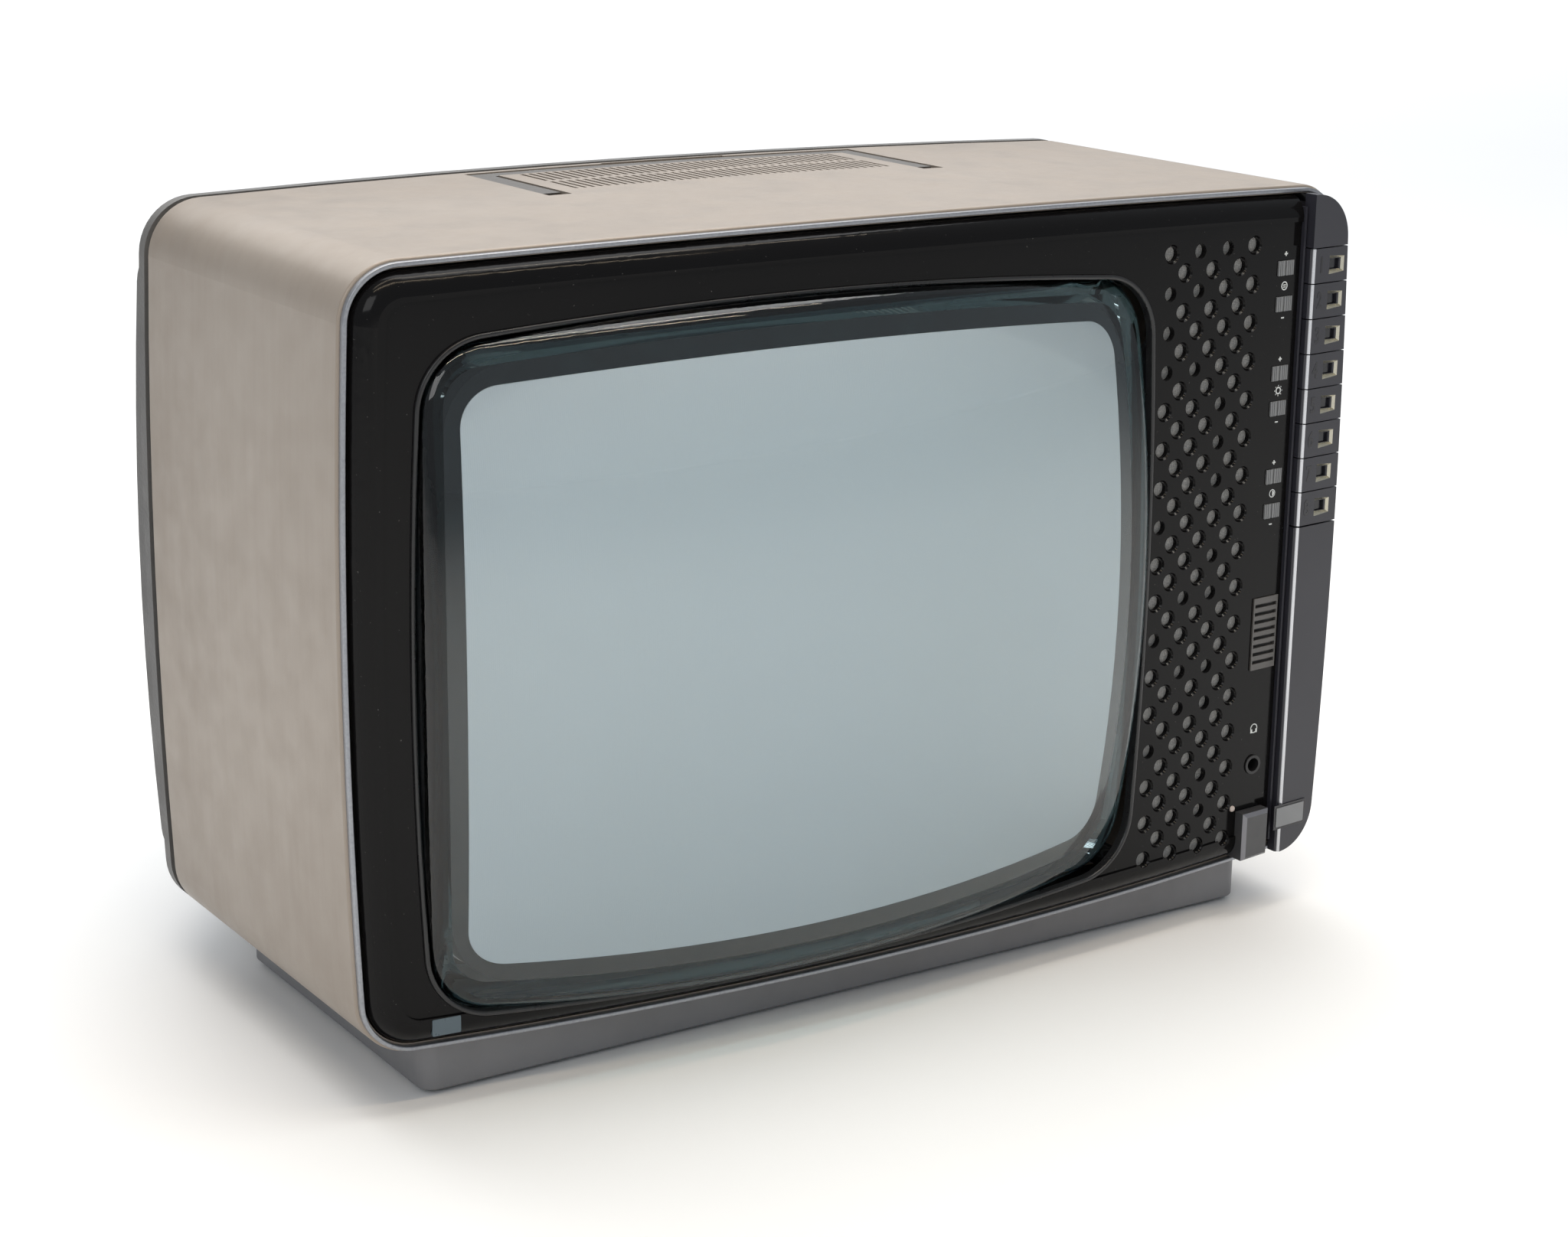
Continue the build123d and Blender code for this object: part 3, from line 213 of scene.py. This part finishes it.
def grille_fabric():
    made = Surface("grille_fabric", (0.46, 0.45, 0.43), 0.9)
    across, upright = made.waves(420, "X"), made.waves(420, "Z")
    weave = made.math("MULTIPLY", across, upright)
    made.blend(made.span(weave, 0.0, 0.6, 0.75, 0), (0.16, 0.155, 0.15))
    made.blend(made.span(made.noise(700, 2), 0.5, 0.75, 0, 0.4), (0.6, 0.58, 0.55))
    made.bump(weave, 0.15 * MM)
    return made


def strip_plastic():
    made = Surface("strip_plastic", (0.024, 0.024, 0.032), 0.4)
    made.blend(made.span(made.noise(30, 4), 0.4, 0.75, 0, 0.4), (0.016, 0.016, 0.022))
    # painted highlights: a light silver line down the left edge, where its bevel catches the light, and
    # a light warm colour on the bevels of the key windows
    bevel = made.facing((-1, -1, 0), 0.93, 0.97)
    left_edge_highlight = made.math("MULTIPLY", bevel, made.span(made.axis("X"), 0.2202, 0.2206))
    tilted, not_front = made.facing((0, -1, 0), 0.56, 0.6), made.facing((0, 1, 0), -0.68, -0.63)
    slope = made.math("MULTIPLY", tilted, not_front)
    window_highlight = made.math("MULTIPLY", slope, made.span(made.axis("X"), 0.2283, 0.2285))
    painted_highlight = made.math("MAXIMUM", left_edge_highlight, window_highlight)
    made.blend(left_edge_highlight, (0.62, 0.63, 0.66))
    made.blend(window_highlight, (0.50, 0.48, 0.40))
    made.drive("Metallic", made.span(painted_highlight, 0, 1, 0, 0.85))
    made.drive("Roughness", made.span(painted_highlight, 0, 1, 0.4, 0.24))
    made.bump(made.noise(2600, 2), 0.03 * MM)
    return made


def button_plastic():
    made = Surface("button_plastic", (0.052, 0.052, 0.055), 0.38)
    # painted highlights: light colour on the bevels facing left and up, where they catch the light
    left, top = made.facing((-1, -1, 0), 0.93, 0.97), made.facing((0, -1, 1), 0.93, 0.97)
    painted_highlight = made.math("MAXIMUM", left, top)
    made.blend(made.span(made.noise(60, 3), 0.4, 0.75, 0, 0.4), (0.036, 0.036, 0.039))
    made.blend(painted_highlight, (0.24, 0.24, 0.26))
    made.drive("Metallic", made.span(painted_highlight, 0, 1, 0, 0.7))
    made.drive("Roughness", made.span(made.noise(300, 3), 0.3, 0.7, 0.28, 0.42))
    made.bump(made.noise(2600, 2), 0.02 * MM)
    return made


def tube_glass():
    made = Surface("tube_glass", (1.0, 1.0, 1.0), 0.0, Transmission_Weight=1.0, IOR=1.52)
    made.drive("Roughness", made.span(made.noise(14, 5, rough=0.7), 0.45, 0.8, 0.0, 0.05))
    body = made.node("VolumeAbsorption")
    body.inputs["Color"].default_value = (0.30, 0.74, 0.82, 1.0)
    body.inputs["Density"].default_value = 11.0
    output = made.tree.nodes["Material Output"]
    made.feed(output.inputs["Volume"], body.outputs["Volume"])
    # lamps shine straight through, so that the screen behind is lit
    choose, clear = made.node("MixShader"), made.node("BsdfTransparent")
    clear.inputs["Color"].default_value = (0.84, 0.84, 0.87, 1.0)
    made.feed(choose.inputs[0], made.node("LightPath").outputs["Is Shadow Ray"])
    made.feed(choose.inputs[1], made.shader.outputs[0])
    made.feed(choose.inputs[2], clear.outputs[0])
    made.feed(output.inputs["Surface"], choose.outputs[0])
    return made


def phosphor():
    made = Surface("phosphor", (0.57, 0.60, 0.64), 0.75, Specular_IOR_Level=0.2)
    # fine upright stripes of the three phosphors
    made.blend(made.span(made.waves(390, "X"), 0.3, 0.9, 0, 0.22), (0.45, 0.49, 0.53))
    made.blend(made.span(made.noise(5, 4), 0.4, 0.75, 0, 0.3), (0.53, 0.54, 0.54))
    made.bump(made.noise(900, 2), 0.02 * MM)
    return made


def tube_border():
    made = Surface("tube_border", (0.003, 0.0035, 0.004), 0.5, Specular_IOR_Level=0.1)
    made.blend(made.span(made.noise(80, 4), 0.4, 0.7, 0, 0.6), (0.005, 0.010, 0.012))
    made.bump(made.noise(500, 3), 0.03 * MM)
    return made


def rear_plastic():
    made = Surface("rear_plastic", (0.105, 0.102, 0.10), 0.55)
    made.blend(made.span(made.noise(12, 5, rough=0.6), 0.4, 0.75, 0, 0.4), (0.15, 0.142, 0.13))
    made.drive("Roughness", made.span(made.noise(50, 4), 0.3, 0.7, 0.48, 0.66))
    pebbles = made.cells(650)
    made.bump(pebbles, 0.12 * MM)
    return made


def plinth_plastic():
    made = Surface("plinth_plastic", (0.20, 0.20, 0.21), 0.45, Metallic=0.15)
    made.blend(made.span(made.noise(25, 4), 0.4, 0.75, 0, 0.4), (0.155, 0.153, 0.157))
    made.drive("Roughness", made.span(made.noise(90, 4), 0.3, 0.7, 0.38, 0.55))
    made.bump(made.noise(1900, 2), 0.03 * MM)
    return made


def brushed_metal(name, color, roughness=0.35):
    made = Surface(name, color, roughness, Metallic=0.95)
    lines = made.noise(1.0, 3, stretch=(60, 60, 2200))
    made.blend(made.span(lines, 0.35, 0.7, 0, 0.35), shade(color, 0.6))
    made.drive("Roughness", made.span(lines, 0.3, 0.7, roughness * 0.8, roughness * 1.25))
    made.bump(lines, 0.02 * MM)
    return made


def circuit_board():
    made = Surface("circuit_board", (0.30, 0.17, 0.06), 0.5)
    tracks = made.math("GREATER_THAN", made.noise(110, 0, stretch=(1, 1, 0.25)), 0.56)
    made.blend(tracks, (0.16, 0.12, 0.05))
    made.blend(made.span(made.noise(40, 4), 0.4, 0.7, 0, 0.35), (0.22, 0.12, 0.045))
    made.bump(tracks, 0.04 * MM)
    return made


def funnel_coating():
    made = Surface("funnel_coating", (0.030, 0.029, 0.028), 0.62)
    made.blend(made.span(made.noise(26, 5, rough=0.7), 0.4, 0.7, 0, 0.6), (0.05, 0.046, 0.042))
    made.drive("Roughness", made.span(made.noise(90, 4), 0.3, 0.7, 0.5, 0.8))
    made.bump(made.noise(420, 4), 0.08 * MM)
    return made


gasket_rubber = moulded("gasket_rubber", (0.012, 0.012, 0.013), 0.3, grain=900)
sensor_plastic = moulded("sensor_plastic", (0.085, 0.08, 0.076), 0.35)
socket_plastic = moulded("socket_plastic", (0.012, 0.012, 0.013), 0.4)
pad_plastic = moulded("pad_plastic", (0.19, 0.195, 0.20), 0.38)
lamp_lens = moulded("lamp_lens", (0.50, 0.42, 0.38), 0.15, Coat_Weight=0.6)
red_lens = moulded("red_lens", (0.30, 0.02, 0.012), 0.2, Coat_Weight=0.5)
wheel_plastic = moulded("wheel_plastic", (0.62, 0.60, 0.53), 0.5)
ring_plastic = moulded("ring_plastic", (0.66, 0.65, 0.58), 0.5)
handle_plastic = moulded("handle_plastic", (0.075, 0.066, 0.058), 0.42, grain=1500, depth=0.05)
coil_tape = moulded("coil_tape", (0.03, 0.03, 0.031), 0.6, grain=600, depth=0.1)
black_rubber = moulded("black_rubber", (0.018, 0.018, 0.018), 0.75, grain=1200, depth=0.05)
cast_resin = moulded("cast_resin", (0.06, 0.065, 0.08), 0.35)
cone_paper = moulded("cone_paper", (0.035, 0.034, 0.032), 0.85, grain=700, depth=0.15)
frame_paint = moulded("frame_paint", (0.02, 0.02, 0.021), 0.5)
dark_ferrite = moulded("dark_ferrite", (0.07, 0.062, 0.058), 0.6, grain=500, depth=0.1)
legend_ink = moulded("legend_ink", (0.62, 0.64, 0.63), 0.5)
numeral_gloss = moulded("numeral_gloss", (0.012, 0.012, 0.016), 0.18)
plate_silver = moulded("plate_silver", (0.20, 0.205, 0.21), 0.34, grain=1600, Metallic=0.7)
badge_enamel = moulded("badge_enamel", (0.09, 0.12, 0.14), 0.3, grain=1600, Metallic=0.3)
steel = brushed_metal("steel", (0.48, 0.48, 0.49))
tinned = brushed_metal("tinned", (0.58, 0.59, 0.58), 0.45)
lacquer, trim, gloss, fabric = cabinet_lacquer(), silver_trim(), bezel_gloss(), grille_fabric()
strip, button, glass, screen = strip_plastic(), button_plastic(), tube_glass(), phosphor()
border, rear, plinth, board = tube_border(), rear_plastic(), plinth_plastic(), circuit_board()
funnel = funnel_coating()

node_surfaces = {
    "cabinet_shell": lacquer,
    "front_trim": trim,
    "front_bezel": gloss,
    "screen_gasket": gasket_rubber,
    "tube_panel": glass,
    "phosphor_screen": screen,
    "tube_funnel": funnel,
    "shadow_mask": steel,
    "electron_gun": steel,
    "tube_socket": board,
    "deflection_yoke": dark_ferrite,
    "convergence_rings": ring_plastic,
    "implosion_band": steel,
    "tube_screws": steel,
    "degaussing_coil": coil_tape,
    "grille_cloth": fabric,
    "sensor_grille": sensor_plastic,
    "headphone_socket": socket_plastic,
    "standby_lamp": lamp_lens,
    "program_lamps": red_lens,
    "control_frame": strip,
    "control_board": board,
    "tuning_door": strip,
    "power_button": button,
    "handle_tray": rear,
    "handle_pins": steel,
    "carry_handle": handle_plastic,
    "rear_cover": rear,
    "rear_screws": steel,
    "aerial_sockets": socket_plastic,
    "mains_bush": black_rubber,
    "plinth": plinth,
    "rubber_feet": black_rubber,
    "main_board": board,
    "flyback_transformer": cast_resin,
    "tuner_box": tinned,
    "speaker_frame": frame_paint,
    "speaker_cone": cone_paper,
}
for name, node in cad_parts.items():
    surface = node_surfaces.get(name)
    if surface is None:
        surface = {"program": strip, "tuning": wheel_plastic}.get(name.split("_")[0], pad_plastic)
    node.data.materials.clear()
    node.data.materials.append(surface.material)


# ---------------------------------------------------------------- helpers for new pieces


def face_y(x, depth=0.0):
    """Y of the bowed face at local x, `depth` behind its surface, in millimetres."""
    return FRONT_Y + depth - FACE_BOW * (1 - (x / HALF_W) ** 2)


def face_place(x, z, depth):
    """Where a flat piece sits on the bowed face: its own X runs right, Y up and Z outwards."""
    slope = 2 * FACE_BOW * x / HALF_W**2
    right, up = Vector((1, slope, 0)).normalized(), Vector((0, 0, 1))
    out = right.cross(up)
    place = Matrix((right, up, out)).transposed().to_4x4()
    place.translation = Vector((x, face_y(x, depth), z + MID_Z)) * MM
    return place


def finish_piece(name, mesh, surface, body, place=None):
    piece = bpy.data.objects.new(name, mesh)
    bpy.context.scene.collection.objects.link(piece)
    if place is not None:
        mesh.transform(place)
    mesh.materials.clear()
    mesh.materials.append(surface.material)
    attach(piece, body)
    return piece


def mesh_of(curve):
    """The mesh of a curve or text, which is then removed."""
    holder = bpy.data.objects.new(curve.name, curve)
    bpy.context.scene.collection.objects.link(holder)
    bpy.context.view_layer.update()
    evaluated = holder.evaluated_get(bpy.context.evaluated_depsgraph_get())
    mesh = bpy.data.meshes.new_from_object(evaluated)
    bpy.data.objects.remove(holder)
    return mesh


def flat_mesh(name, outlines, thick, bevel):
    """Flat piece bounded by closed outlines in millimetres; an outline inside another is a hole."""
    curve = bpy.data.curves.new(name, "CURVE")
    curve.dimensions, curve.fill_mode = "2D", "BOTH"
    curve.extrude, curve.bevel_depth = thick / 2 * MM, bevel * MM
    curve.offset = -bevel * MM
    for points in outlines:
        spline = curve.splines.new("POLY")
        spline.points.add(len(points) - 1)
        for point, (x, y) in zip(spline.points, points):
            point.co = (x * MM, y * MM, 0, 1)
        spline.use_cyclic_u = True
    return mesh_of(curve)


def circle(radius, centre=(0, 0), count=28):
    turns = [2 * math.pi * step / count for step in range(count)]
    return [(centre[0] + radius * math.cos(a), centre[1] + radius * math.sin(a)) for a in turns]


def half_circle(radius, count=14):
    turns = [math.pi * (step / count - 0.5) for step in range(count + 1)]
    return [(radius * math.cos(a), radius * math.sin(a)) for a in turns]


def rectangle(width, height, centre=(0, 0), corner=0.0):
    half_x, half_y = width / 2 - corner, height / 2 - corner
    points = []
    for sign_x, sign_y, start in ((1, 1, 0), (-1, 1, 90), (-1, -1, 180), (1, -1, 270)):
        for step in range(5 if corner else 1):
            angle = math.radians(start + step * 22.5)
            points.append(
                (
                    centre[0] + sign_x * half_x + corner * math.cos(angle),
                    centre[1] + sign_y * half_y + corner * math.sin(angle),
                )
            )
    return points


def bowed_outline(size, bows, radius, grow=0.0, count=24):
    """Closed outline of a rounded rectangle with bowed sides, as the CAD draws it."""
    half_x, half_z = size[0] / 2 + grow, size[1] / 2 + grow
    side_r = (half_z**2 + bows[0] ** 2) / (2 * bows[0])
    top_r = (half_x**2 + bows[1] ** 2) / (2 * bows[1])
    side_centre = Vector((half_x + bows[0] - side_r, 0))
    top_centre = Vector((0, half_z + bows[1] - top_r))
    # the corner's centre lies `radius` inside both arcs
    between = top_centre - side_centre
    reach = between.length
    along = ((side_r - radius) ** 2 - (top_r - radius) ** 2 + reach**2) / (2 * reach)
    off = math.sqrt((side_r - radius) ** 2 - along**2)
    unit = between / reach
    corner = side_centre + unit * along + Vector((unit.y, -unit.x)) * off
    if corner.x < 0:
        corner = side_centre + unit * along - Vector((unit.y, -unit.x)) * off

    def arc(centre, arc_radius, start, stop):
        steps = [start + (stop - start) * step / count for step in range(count)]
        return [centre + Vector((math.cos(a), math.sin(a))) * arc_radius for a in steps]

    side_end = math.atan2(*(corner - side_centre).yx)
    top_start = math.atan2(*(corner - top_centre).yx)
    quarter = arc(side_centre, side_r, 0, side_end)
    quarter += arc(corner, radius, side_end, top_start)
    quarter += arc(top_centre, top_r, top_start, math.pi / 2)
    points = [(p.x, p.y) for p in quarter]
    points += [(-x, y) for x, y in [(0, half_z + bows[1])] + points[:0:-1]]
    points += [(-x, -y) for x, y in points]
    return points


def dome_y(x, z, radius):
    """Y of a dome about the tube face's centre of curvature, at an offset from the tube's axis."""
    centre_y = FRONT_Y - GLASS_PROUD + FACE_R
    return centre_y - math.sqrt(radius**2 - x * x - z * z)


# ---------------------------------------------------------------- picture tube's dark border


def tube_border_piece():
    """Black coating inside the glass, from the phosphor's edge out to the panel's side walls."""
    inner = bowed_outline(SCREEN_SIZE, SCREEN_BOWS, SCREEN_CORNER, 0.1)
    outer = bowed_outline(GLASS_SIZE, GLASS_BOWS, GLASS_CORNER, -GLASS_T - 0.3)
    radius = FACE_R - GLASS_T - 0.25
    work = bmesh.new()
    rings = []
    for share in (0.0, 0.3, 0.6, 1.0):
        ring = []
        for (x0, z0), (x1, z1) in zip(inner, outer):
            x, z = x0 + (x1 - x0) * share, z0 + (z1 - z0) * share
            ring.append((x + TUBE_X, dome_y(x, z, radius), z + TUBE_Z + MID_Z))
        rings.append(ring)
    for depth in (10.0, 25.0, 40.0):
        rings.append([(x, FRONT_Y + depth, z) for x, y, z in rings[3]])
    made = [[work.verts.new(Vector(p) * MM) for p in ring] for ring in rings]
    for low, high in zip(made, made[1:]):
        for step in range(len(low)):
            after = (step + 1) % len(low)
            work.faces.new((low[step], low[after], high[after], high[step]))
    mesh = bpy.data.meshes.new("tube_border")
    work.to_mesh(mesh)
    work.free()
    piece = finish_piece("tube_border", mesh, border, "cabinet")
    solid = piece.modifiers.new("thickness", "SOLIDIFY")
    solid.thickness = 0.2 * MM
    solid.offset = 0.0
    return piece


tube_border_piece()

# ---------------------------------------------------------------- legends, plates and lenses


def numeral(text, height):
    curve = bpy.data.curves.new("numeral_" + text, "FONT")
    curve.body, curve.size = text, height * MM
    curve.align_x, curve.align_y = "CENTER", "CENTER"
    curve.extrude, curve.bevel_depth = 0.06 * MM, 0.05 * MM
    curve.offset = 0.18 * MM
    curve.bevel_resolution = 1
    return mesh_of(curve)


def key_middle(index):
    return KEY_TOP - (index + 0.5) * KEY_PITCH


for index in range(KEY_COUNT):
    body = f"key_{index + 1}"
    digit = numeral(str(index + 1), 10.0)
    place = face_place(NUMERAL_X, key_middle(index), -STRIP_PROUD) @ Matrix.Scale(0.72, 4, (1, 0, 0))
    finish_piece(f"numeral_{index + 1}", digit, numeral_gloss, body, place)
    # smoked lens at the bottom of the key's window
    lens = flat_mesh("lens", [rectangle(5.3, 4.5, corner=0.5)], 0.9, 0.25)
    place = face_place(WINDOW_X, key_middle(index), -STRIP_PROUD + 3.4)
    finish_piece(f"window_lens_{index + 1}", lens, numeral_gloss, body, place)


def legend(name, outlines, x, z, thick=0.06):
    mesh = flat_mesh(name, outlines, thick, 0.0)
    place = face_place(x, z, RECESS_DEPTH - thick / 2)
    finish_piece(name, mesh, legend_ink, "cabinet", place)


def plus(size, stroke):
    half, arm = stroke / 2, size / 2
    quarter = [(arm, -half), (arm, half), (half, half)]
    points = []
    for turn in range(4):
        cos, sin = (1, 0, -1, 0)[turn], (0, 1, 0, -1)[turn]
        points += [(x * cos - y * sin, x * sin + y * cos) for x, y in quarter]
    return points


symbols = (
    # a loudness dial, a sun and a half-filled disc, all plain signs
    (
        "volume",
        [circle(2.0), circle(1.45), rectangle(2.1, 0.5, (0, 0.35)), rectangle(1.7, 0.45, (0, -0.55))],
    ),
    ("brightness", [circle(1.75), circle(1.1)]),
    ("colour", [circle(1.9), circle(1.5), half_circle(1.25)]),
)
for group, (name, outlines) in enumerate(symbols):
    top = PAD_TOP - group * PAD_GROUP
    legend(f"{name}_sign", outlines, PAD_X, top - PAD_PAIR / 2)
    legend(f"{name}_plus", [plus(2.0, 0.7)], PAD_X, top + SIGN_GAP)
    legend(f"{name}_minus", [rectangle(1.9, 0.6)], PAD_X, top - PAD_PAIR - SIGN_GAP)
ray_turns = [math.pi * step / 4 for step in range(8)]
rays = [rectangle(0.45, 0.45, (RAY_R * math.cos(a), RAY_R * math.sin(a))) for a in ray_turns]
legend("brightness_rays", rays, PAD_X, PAD_TOP - PAD_GROUP - PAD_PAIR / 2)
headset = [circle(2.3), circle(1.8)]
cups = [rectangle(1.1, 1.9, (-1.6, -1.2), 0.3), rectangle(1.1, 1.9, (1.6, -1.2), 0.3)]
legend("headphone_band", headset, *HEADPHONE_SIGN)
legend("headphone_cups", cups, *HEADPHONE_SIGN, 0.1)


def plate(name, size, depth, thick, surface, slot, middle, body):
    """Blank plate whose back lies `depth` behind the face."""
    mesh = flat_mesh(name, [rectangle(*size, corner=0.5)], thick, 0.15)
    finish_piece(name, mesh, surface, body, face_place(*middle, depth - thick / 2))


# blank plate with a dark surround on the door, and a plain badge low on the bezel
on_door = {"middle": DOOR_PLATE, "body": "tuning_door"}
plate("door_plate_surround", (21.0, 12.0), -STRIP_PROUD, 0.3, numeral_gloss, "strip_grey", **on_door)
plate("door_plate", (18.5, 9.5), -STRIP_PROUD - 0.2, 0.5, plate_silver, "trim_silver", **on_door)
on_bezel = {"middle": BADGE, "body": "cabinet"}
plate("bezel_badge", (12.0, 7.0), RECESS_DEPTH + 1.2, 2.4, badge_enamel, "trim_silver", **on_bezel)

# ---------------------------------------------------------------- floor, lights and camera


def studio_floor():
    work = bmesh.new()
    bmesh.ops.create_grid(work, x_segments=8, y_segments=8, size=24.0)
    mesh = bpy.data.meshes.new("floor")
    work.to_mesh(mesh)
    work.free()
    floor = bpy.data.objects.new("floor", mesh)
    bpy.context.scene.collection.objects.link(floor)
    paper = Surface("floor_paper", (0.93, 0.93, 0.925), 0.8)
    paper.blend(paper.span(paper.noise(3, 2), 0.3, 0.8, 0, 0.25), (0.9, 0.9, 0.895))
    mesh.materials.append(paper.material)


def area_light(name, place, target, size, energy, color=(1, 1, 1)):
    lamp = bpy.data.lights.new(name, "AREA")
    lamp.shape, lamp.size, lamp.size_y = "RECTANGLE", size[0], size[1]
    lamp.energy, lamp.color = energy, color
    holder = bpy.data.objects.new(name, lamp)
    bpy.context.scene.collection.objects.link(holder)
    holder.location = place
    holder.rotation_euler = (Vector(target) - Vector(place)).to_track_quat("-Z", "Y").to_euler()


studio_floor()
area_light("overhead", (0.2, 0.25, 2.3), (0, 0, 0.2), (2.2, 1.6), 36)
area_light("front_left", (-2.2, -1.9, 1.7), (0, 0, 0.2), (1.4, 1.2), 15)
area_light("backdrop", (2.5, 6.0, 4.5), (2.5, 6.0, 0), (10.0, 7.0), 430)
area_light("strip_near", (-0.2, -1.1, 2.0), (0, 0, 0.3), (2.2, 0.06), 9, (1.0, 0.82, 0.6))
area_light("strip_far", (0.0, -0.55, 2.2), (0, 0, 0.3), (2.4, 0.05), 8, (1.0, 0.86, 0.68))

world = bpy.data.worlds.new("studio")
bpy.context.scene.world = world
world.use_nodes = True
background = world.node_tree.nodes["Background"]
background.inputs["Color"].default_value = (0.86, 0.93, 1.0, 1.0)
background.inputs["Strength"].default_value = 0.42
bpy.context.scene.view_settings.view_transform = "Standard"

camera = bpy.data.objects.new("camera", bpy.data.cameras.new("camera"))
bpy.context.scene.collection.objects.link(camera)
camera.data.lens, camera.data.sensor_width = 68.8, 36.0
camera.data.clip_start, camera.data.clip_end = 0.05, 50.0
camera.matrix_world = Matrix(
    (
        (0.8369, 0.1374, -0.5299, -0.70093),
        (-0.5472, 0.2340, -0.8036, -1.14069),
        (0.0136, 0.9625, 0.2710, 0.51041),
        (0, 0, 0, 1),
    )
)
bpy.context.scene.camera = camera
